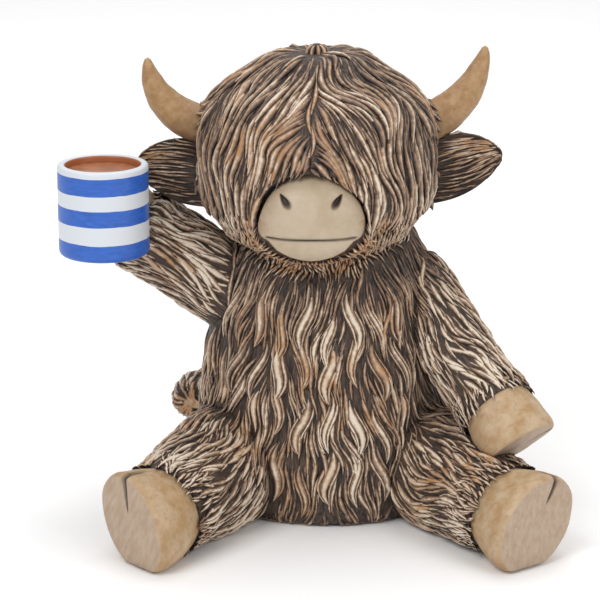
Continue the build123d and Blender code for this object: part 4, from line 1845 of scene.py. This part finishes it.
@dataclass
class Horn:
    """One smooth horn that curves outward and up to a blunt tip."""

    side: Side
    base: Vector
    curve_radius: float
    start: float
    sweep: float
    radius: float = 6.0
    root: float = 7.0
    around: int = 32
    rings: int = 44
    taper: tuple = ((0.0, 1.0), (0.3, 0.93), (0.58, 0.76), (0.82, 0.48), (0.95, 0.27), (1.0, 0.15))
    ROOT_SHARES = (-0.25, -0.12)
    CROWDING = 0.9
    # Each row: how high the bumps are, their size and their seed
    BUMPS = ((0.22, 5.0, 2.0), (0.1, 1.8, 5.0))
    FULL_BUMPS = 3.0
    # How far along the horn the painted root shade reaches, and its share on the upper side
    ROOT_SHADE_END = 0.45
    ROOT_SHADE_ABOVE = 0.25
    TIP = 0.1

    def centre(self, share: float) -> tuple[Vector, Vector]:
        """A point on the horn's centre line and the direction there.

        Args:
            share: the place from the root at 0 to the tip at 1.

        Returns:
            The point and the direction.
        """
        first = math.radians(self.start)
        angle = first + math.radians(self.sweep) * share
        out = self.curve_radius * (math.sin(angle) - math.sin(first))
        up = self.curve_radius * (math.cos(first) - math.cos(angle))
        heading = Vector((self.side.value * math.cos(angle), 0.0, math.sin(angle)))
        return self.base + Vector((self.side.value * out, 0.0, up)), heading

    def build(self, paint_made: Material) -> None:
        """Models the horn in place of its casting.

        Args:
            paint_made: its paint.
        """
        points, roots = [], []
        beyond_root = np.linspace(0, 1, self.rings - len(self.ROOT_SHARES)) ** self.CROWDING
        shares = np.concatenate([self.ROOT_SHARES, beyond_root])
        for share in shares:
            middle, heading = self.centre(max(share, 0.0))
            middle = middle + heading * (min(share, 0.0) / -self.ROOT_SHARES[0] * self.root)
            radius = self.radius * between(self.taper, max(share, 0.0))[0]
            beside = Vector((0.0, 1.0, 0.0))
            above = heading.cross(beside) * self.side.value
            for step in range(self.around):
                angle = math.tau * step / self.around
                spoke = beside * math.cos(angle) + above * math.sin(angle)
                spot = middle + spoke * radius
                swell = sum(height * ripple(spot, size, seed) for height, size, seed in self.BUMPS)
                points.append(spot + spoke * swell * min(1.0, radius / self.FULL_BUMPS))
                # Painted shade: darkest at the root and on the underside, fading out along the horn
                below = 0.5 - 0.5 * math.sin(angle)
                roots.append((1 - ease(0.0, self.ROOT_SHADE_END, share)) * mix((self.ROOT_SHADE_ABOVE, 1.0), below))
        tip, heading = self.centre(1.0)
        start, inward = self.centre(0.0)
        points += [tip + heading * self.radius * self.TIP, start - inward * self.root]
        faces = closed_faces(len(shares), self.around, self.side is Side.LEFT)
        name = f"{self.side.name.lower()}_horn"
        mesh = mesh_of(name, np.array([tuple(point) for point in points]), faces)
        # The painted root shade: none at the tip's pole, full at the root's
        store(mesh, "root", np.append(roots, [0.0, 1.0]))
        place_form(name, mesh, paint_made)


@dataclass
class Hoof:
    """One hoof: oval rings that bend from the limb to the sole, with a cleft at the toe."""

    name: str
    ankle: Vector
    limb_axis: Vector
    sole_axis: Vector
    toe_turn: float
    cleft_turn: float
    cleft_reach: float
    length: float
    toe_radius: float
    side_radius: float
    floor: float | None = None
    root: float = 4.0
    cleft_angle: float = 4.2
    cleft_depth: float = 2.4
    edge: float = 0.8
    shares: tuple = ((0.0, 0.84, 0.98), (0.35, 0.94, 1.0), (0.82, 1.0, 1.0), (1.0, 0.97, 0.96))
    WALL_PLACES = (0.0, 0.1, 0.2, 0.3, 0.4, 0.5, 0.6, 0.7, 0.8, 0.88)
    SOLE_SHARES = (0.9, 0.78, 0.64, 0.5, 0.38, 0.27, 0.16, 0.07)
    SOLE_SWELL = 0.35
    CLEFT_PLACES = (0.0, 0.3, 0.65, 1.0, 1.35, 1.9)
    OTHER_PLACES = 26
    CLEFT_START = (0.25, 0.55)
    WALL_CLEFT = 0.8
    SOLE_CLEFT = 0.8
    EDGE_TURNS = (0.15, 1.0, 5)
    EDGE_PUSH = (0.5, 0.7)
    SOLE_START = (0.2, 0.9)
    # How dark, how wide and how it fades on the sole: the painted shade along the cleft
    CLEFT_SHADE_STRENGTH = 1.25
    CLEFT_SHADE_WIDTH = 1.15
    CLEFT_SHADE_FADE = (0.04, 0.12)
    UNEVEN = 0.3
    UNEVEN_SIZE = 7.0

    def angles(self) -> Array:
        """Angles round the hoof, crowded at the cleft.

        Returns:
            The angles in radians, 0 at the cleft.
        """
        half = self.cleft_angle
        near = [place * half for place in self.CLEFT_PLACES]
        wide = list(np.linspace(3 * half, 180.0, self.OTHER_PLACES))
        turns = near + wide
        return np.radians(np.array([-turn for turn in turns[-2:0:-1]] + turns))

    def ring(self, along: float, shrink: float, sink: float, angles: Array) -> tuple[Array, Vector]:
        """One ring of points.

        Args:
            along: the place from the ankle at 0 to the sole at 1.
            shrink: the ring's size as a share of the full size there.
            sink: how far the ring stands back from that place.
            angles: the angles round the ring, 0 at the cleft.

        Returns:
            The points and the axis there.
        """
        share = max(along, 0.0)
        bend = share * share / 2
        middle = self.ankle + self.limb_axis * (self.length * (share - bend))
        middle = middle + self.sole_axis * (self.length * bend)
        axis = (self.limb_axis * (1 - share) + self.sole_axis * share).normalized()
        middle = middle + self.limb_axis * (self.length * min(along, 0.0)) - axis * sink
        upward = (Vector((0.0, 0.0, 1.0)) - axis * axis.z).normalized()
        toe = Quaternion(axis, math.radians(self.toe_turn)) @ upward
        beside = axis.cross(toe)
        toe_size, side_size = between(self.shares, share)
        turn = math.radians(self.cleft_turn - self.toe_turn)
        shift = math.atan2(math.sin(turn) / self.side_radius, math.cos(turn) / self.toe_radius)
        right = np.cos(angles + shift) * self.toe_radius * toe_size * shrink
        up = np.sin(angles + shift) * self.side_radius * side_size * shrink
        points = np.array(middle) + np.outer(right, np.array(toe)) + np.outer(up, np.array(beside))
        return points, axis

    def build(self, paint_made: Material) -> None:
        """Models the hoof in place of its casting.

        Args:
            paint_made: its paint.
        """
        angles = self.angles()
        groove = np.clip(1 - np.abs(angles) / math.radians(self.cleft_angle), 0, 1)
        # Painted shade along the cleft, darkest on it and fading to either side
        shaded_cleft = math.radians(self.CLEFT_SHADE_WIDTH * self.cleft_angle)
        wash = np.clip(self.CLEFT_SHADE_STRENGTH - np.abs(angles) / shaded_cleft, 0, 1)
        rows, cleft_shades, soles = [], [], []
        start = -self.root / self.length
        for along in (start, *self.WALL_PLACES):
            points, _ = self.ring(along, 1.0, 0.0, angles)
            cut = ease(*self.CLEFT_START, along)
            inward = self.inward(points)
            rows.append(points + inward * (groove * cut * self.cleft_depth * self.WALL_CLEFT)[:, None])
            cleft_shades.append(wash * cut)
            soles.append(np.zeros_like(wash))
        for turn in np.linspace(*self.EDGE_TURNS) * math.pi / 2:
            sink = self.edge * (1 - math.sin(turn))
            shrink = 1 - self.edge / self.side_radius * (1 - math.cos(turn))
            points, axis = self.ring(1.0, shrink, sink, angles)
            push = self.inward(points) * self.EDGE_PUSH[0] - np.array(axis) * self.EDGE_PUSH[1]
            rows.append(points + push * (groove * self.cleft_depth)[:, None])
            cleft_shades.append(wash)
            soles.append(np.full_like(wash, ease(*self.SOLE_START, turn / (math.pi / 2))))
        rim = 1 - self.edge / self.side_radius
        for share in self.SOLE_SHARES:
            points, axis = self.ring(1.0, rim * share, -self.SOLE_SWELL * (1 - share), angles)
            cut = ease(self.cleft_reach, self.SOLE_CLEFT, share)
            rows.append(points - np.outer(groove * cut * self.cleft_depth, np.array(axis)))
            before, after = self.CLEFT_SHADE_FADE
            cleft_shades.append(wash * ease(self.cleft_reach - before, self.cleft_reach + after, share))
            soles.append(np.ones_like(wash))
        centre, _ = self.ring(1.0, 0.0, -self.SOLE_SWELL, angles)
        heel, _ = self.ring(start, 0.0, 0.0, angles)
        points = np.concatenate(rows + [centre[:1], heel[:1]])
        points = self.shape(points)
        faces = closed_faces(len(rows), len(angles))
        mesh = mesh_of(self.name, points, faces)
        # The painted shade in the cleft
        store(mesh, "wash", np.append(np.concatenate(cleft_shades), [0.0, 0.0]))
        store(mesh, "sole", np.append(np.concatenate(soles), [1.0, 0.0]))
        place_form(self.name, mesh, paint_made)

    def inward(self, points: Array) -> Array:
        """Unit directions from a ring's points to its middle."""
        ways = points.mean(axis=0) - points
        return ways / np.linalg.norm(ways, axis=1, keepdims=True)

    def shape(self, points: Array) -> Array:
        """Makes the surface a little uneven, and flat where it lies on the table.

        Args:
            points: the surface's points.

        Returns:
            The points, moved.
        """
        shaped = []
        for row in points.tolist():
            spot = Vector(row)
            spot += Vector([ripple(spot, self.UNEVEN_SIZE, seed) for seed in (0.0, 3.0, 6.0)]) * self.UNEVEN
            if self.floor is not None:
                spot.z = max(spot.z, self.floor)
            shaped.append(tuple(spot))
        return np.array(shaped)


@dataclass
class Mug:
    """The straight-sided mug in the raised hoof, and its drink."""

    wall: float = 2.4
    floor: float = 4.0
    rim_round: float = 1.0
    foot_round: float = 1.6
    drop: float = 2.6
    wobble: float = 0.07
    wobble_size: float = 9.0
    lip_brown: float = 0.35
    drink_edge: float = 0.5
    drink_shares: tuple[float, ...] = (1.0, 0.95, 0.85, 0.65, 0.4, 0.2)
    around: int = 96
    band_heights: tuple[float, ...] = (5.4, 10.8, 15.7, 20.1, 25.3)

    def build(self, paint_made: BandedPaint, tint: Material) -> None:
        """Models the mug and the drink in place of their castings.

        Args:
            paint_made: the mug's paint, still to be mixed.
            tint: the drink's tint.
        """
        low, high = (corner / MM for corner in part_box("mug"))
        radius = (high.x - low.x) / 2
        middle = Vector(((low.x + high.x) / 2, (low.y + high.y) / 2, low.z))
        height = high.z - low.z
        outer = self.rounded(radius, 0.0, self.foot_round, -90.0, 0.0)
        levels = np.linspace(self.foot_round, height - self.rim_round, 14)
        side = [(radius, level) for level in levels[1:-1]]
        lip = self.rounded(radius, height, self.rim_round, 0.0, 90.0)
        inner_radius = radius - self.wall
        inside = self.rounded(inner_radius, height, -self.rim_round, 90.0, 180.0)
        levels = np.linspace(height - self.rim_round, self.floor, 8)
        down = [(inner_radius, level) for level in levels[1:]]
        bottom = [(inner_radius * 0.5, self.floor)]
        profile = [(radius * 0.5, 0.0)] + outer + side + lip + inside + down + bottom
        mesh = self.turned("mug", profile, middle, self.wobble)
        within = [1.0 if r < inner_radius + self.lip_brown and z > self.floor else 0.0 for r, z in profile]
        store(mesh, "inside", np.append(np.repeat(within, self.around), [1.0, 0.0]))
        edges = tuple(middle.z + level for level in self.band_heights)
        place_form("mug", mesh, paint_made.make(edges))
        top = height - self.drop
        surface = [(inner_radius * share, top + self.drink_edge * share ** 8) for share in self.drink_shares]
        drink = [(inner_radius * 0.5, self.floor), (inner_radius, self.floor)] + surface
        place_form("drink", self.turned("drink", drink, middle, 0.0), tint)

    def rounded(self, radius: float, level: float, size: float, first: float, last: float) -> list:
        """A quarter round on the mug's profile.

        Args:
            radius: the wall that it runs into.
            level: the level that it runs into.
            size: its radius, negative on the inside of the wall.
            first: the angle where it starts.
            last: the angle where it ends.

        Returns:
            Pairs of a radius and a height.
        """
        centre_level = level - abs(size) if level else level + abs(size)
        turns = np.radians(np.linspace(first, last, 6))
        return [(radius - size + abs(size) * math.cos(turn), centre_level + abs(size) * math.sin(turn))
                for turn in turns]

    def turned(self, name: str, profile: list, middle: Vector, wobble: float) -> Mesh:
        """Turns a profile round the mug's axis.

        Args:
            name: the mesh's name.
            profile: pairs of a radius and a height, from the bottom outside to the inside.
            middle: the middle of the mug's foot.
            wobble: how uneven the wall is.

        Returns:
            The closed mesh.
        """
        points = []
        for radius, level in profile:
            for step in range(self.around):
                angle = math.tau * step / self.around
                spot = middle + Vector((radius * math.cos(angle), radius * math.sin(angle), level))
                out = 1 + wobble * ripple(spot, self.wobble_size) / radius
                points.append((middle.x + radius * out * math.cos(angle),
                               middle.y + radius * out * math.sin(angle), spot.z))
        points += [(middle.x, middle.y, middle.z + level) for _, level in (profile[-1], profile[0])]
        return mesh_of(name, np.array(points), closed_faces(len(profile), self.around))


@dataclass
class Castings:
    """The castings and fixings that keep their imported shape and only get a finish."""

    combed: dict = field(default_factory=lambda: {
        "torso": (0.0, 0.0, 1.0), "head": (0.0, 0.0, 1.0),
        "fringe": (0.0, 0.3, 1.0), "tail": (1.0, 0.0, 0.0),
        "right_ear": (-1.0, 0.06, 0.13), "left_ear": (1.0, 0.06, 0.2),
        "right_arm": (-0.83, 0.0, 0.56), "left_arm": (0.5, -0.63, -0.6),
        "right_leg": (-0.46, -0.88, -0.04), "left_leg": (0.51, -0.86, -0.04),
    })
    felts: Names = ("base_felt", "foot_pads")
    plugs: Names = ("base_plug",)
    pins: Names = ("limb_pins", "horn_pins", "mug_pin")

    def dress(self, nodes: Nodes) -> None:
        """Gives each kept casting its finish.

        Args:
            nodes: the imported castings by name.
        """
        for name, axis in self.combed.items():
            self.give(nodes[name], SkinPaint().make(name, Vector(axis)))
        finishes = {
            self.felts: HiddenFinish("felt", "14110f", "2a2522", 0.5, 0.95).make(),
            self.plugs: HiddenFinish("plug_rubber", "2c2a28", "3b3937", 0.8, 0.8).make(),
            self.pins: HiddenFinish("pin_wire", "8c8c8c", "b4b4b4", 0.4, 0.35, 1.0).make(),
        }
        for names, finish in finishes.items():
            for name in names:
                self.give(nodes[name], finish)

    def give(self, node: Object, finish: Material) -> None:
        """Puts a finish on a casting and reports it.

        Args:
            node: the casting.
            finish: its finish.
        """
        node.data.materials.clear()
        node.data.materials.append(finish)
        LOG.info("%s: finished with %s", node.name, finish.name)


@dataclass
class Studio:
    """A pale floor, soft light and a camera at the photograph's angle."""

    target: Vector = field(default_factory=lambda: Vector((-8.57, 0.0, 61.6)))
    distance: float = 800.0
    elevation: float = 16.0
    lens: float = 156.86
    sensor: float = 36.0
    farthest: float = 20.0
    floor_half: float = 4000.0
    world: float = 0.5
    lamps: tuple = (
        ("key_light", (-420.0, -620.0, 760.0), 520.0, 4.0),
        ("fill_light", (560.0, -560.0, 420.0), 520.0, 1.8),
        ("top_light", (40.0, 160.0, 900.0), 520.0, 2.0),
    )
    backdrop: tuple = ("backdrop_light", (0.0, 800.0, 620.0), 1300.0, 3.4)

    def build(self) -> None:
        """Sets up the floor, the lights and the camera."""
        self.floor()
        self.light()
        self.camera()

    def floor(self) -> None:
        """Lays a pale floor."""
        half = self.floor_half
        corners = np.array([(-half, -half, 0.0), (half, -half, 0.0), (half, half, 0.0), (-half, half, 0.0)])
        mesh = mesh_of("studio_floor", corners, [(0, 1, 2, 3)])
        tree = PaintTree("studio_floor")
        colour = tree.blend(tree.noise(300.0, 2.0), "fdfdfd", "ffffff")
        mesh.materials.append(tree.finish(colour, 0.9))
        floor = new_object("studio_floor", mesh)

    def light(self) -> None:
        """Hangs soft lamps in a white room."""
        world = bpy.data.worlds.new("white_room")
        world.use_nodes = True
        backdrop = world.node_tree.nodes["Background"]
        backdrop.inputs["Color"].default_value = (1.0, 1.0, 1.0, 1.0)
        backdrop.inputs["Strength"].default_value = self.world
        scene = bpy.context.scene
        scene.world = world
        scene.view_settings.view_transform = "Standard"
        aims = [self.target * MM for _ in self.lamps] + [Vector(self.backdrop[1][:2] + (0.0,)) * MM]
        for aim, (name, place, size, power) in zip(aims, self.lamps + (self.backdrop,)):
            lamp = bpy.data.lights.new(name, "AREA")
            lamp.size = size * MM
            lamp.energy = power
            holder = new_object(name, lamp)
            holder.location = Vector(place) * MM
            holder.rotation_euler = (aim - holder.location).to_track_quat("-Z", "Y").to_euler()

    def camera(self) -> None:
        """Places the camera a little above the figurine, straight in front."""
        angle = math.radians(self.elevation)
        camera = bpy.data.cameras.new("camera")
        camera.lens = self.lens
        camera.sensor_width = self.sensor
        camera.clip_end = self.farthest
        holder = new_object("camera", camera)
        back = Vector((0.0, -math.cos(angle), math.sin(angle))) * self.distance
        holder.location = (self.target + back) * MM
        holder.rotation_euler = (math.pi / 2 - angle, 0.0, 0.0)
        bpy.context.scene.camera = holder


def hooves(body: Body) -> list[Hoof]:
    """Lists the four hooves.

    Args:
        body: where the limbs end.

    Returns:
        The hooves, hind ones first.
    """
    legs = {side: (body.ankles[side] - body.hips[side]).normalized() for side in Side}
    arms = {side: (body.wrists[side] - body.shoulders[side]).normalized() for side in Side}
    splay = {Side.RIGHT: -20.0, Side.LEFT: 6.0}
    soles = {side: Matrix.Rotation(math.radians(splay[side]), 3, "Z") @ legs[side] for side in Side}
    dipped = Matrix.Rotation(math.radians(13.0), 3, "X") @ arms[Side.LEFT]
    right, left = Side.RIGHT, Side.LEFT
    hind = {"length": 14.0, "toe_radius": 15.9, "side_radius": 12.4, "floor": 1.0}
    fore = {"length": 13.0, "toe_radius": 12.4, "side_radius": 11.2}
    # Each row: name, limb's end, its axis, the sole's, the turns of toe and cleft, the cleft's reach, sizes
    rows = (
        ("right_hind", body.ankles[right], legs[right], soles[right], 36.0, 8.0, 0.28, hind),
        ("left_hind", body.ankles[left], legs[left], soles[left], -42.0, -25.0, 0.5, hind),
        ("right_fore", body.wrists[right], arms[right], arms[right], 0.0, 0.0, 0.3, fore),
        ("left_fore", body.wrists[left], arms[left], dipped, -82.0, -61.0, 0.1, fore),
    )
    return [Hoof(f"{name}_hoof", *places, **sizes) for name, *places, sizes in rows]


def main() -> None:
    """Dresses the figurine, piece by piece, and sets up the studio."""
    logging.basicConfig(level=logging.INFO, format="%(name)s: %(message)s")
    body = Body()
    Studio().build()
    Castings().dress(frame["nodes"])
    muzzle = Muzzle()
    HairCoat(HairBed(frame["nodes"]), body, muzzle, CoatPaint().make()).build()
    muzzle.build(MuzzlePaint().make())
    horn_paint = HornPaint().make()
    Horn(Side.RIGHT, Vector((-34.6, -4.4, 116.9)), curve_radius=21.0, start=5.0, sweep=83.0).build(horn_paint)
    Horn(Side.LEFT, Vector((27.4, -4.4, 116.9)), curve_radius=29.0, start=20.0, sweep=63.0).build(horn_paint)
    hoof_paint = HoofPaint().make()
    for hoof in hooves(body):
        hoof.build(hoof_paint)
    Mug().build(BandedPaint(), DrinkTint().make())


if __name__ == "__main__":
    main()
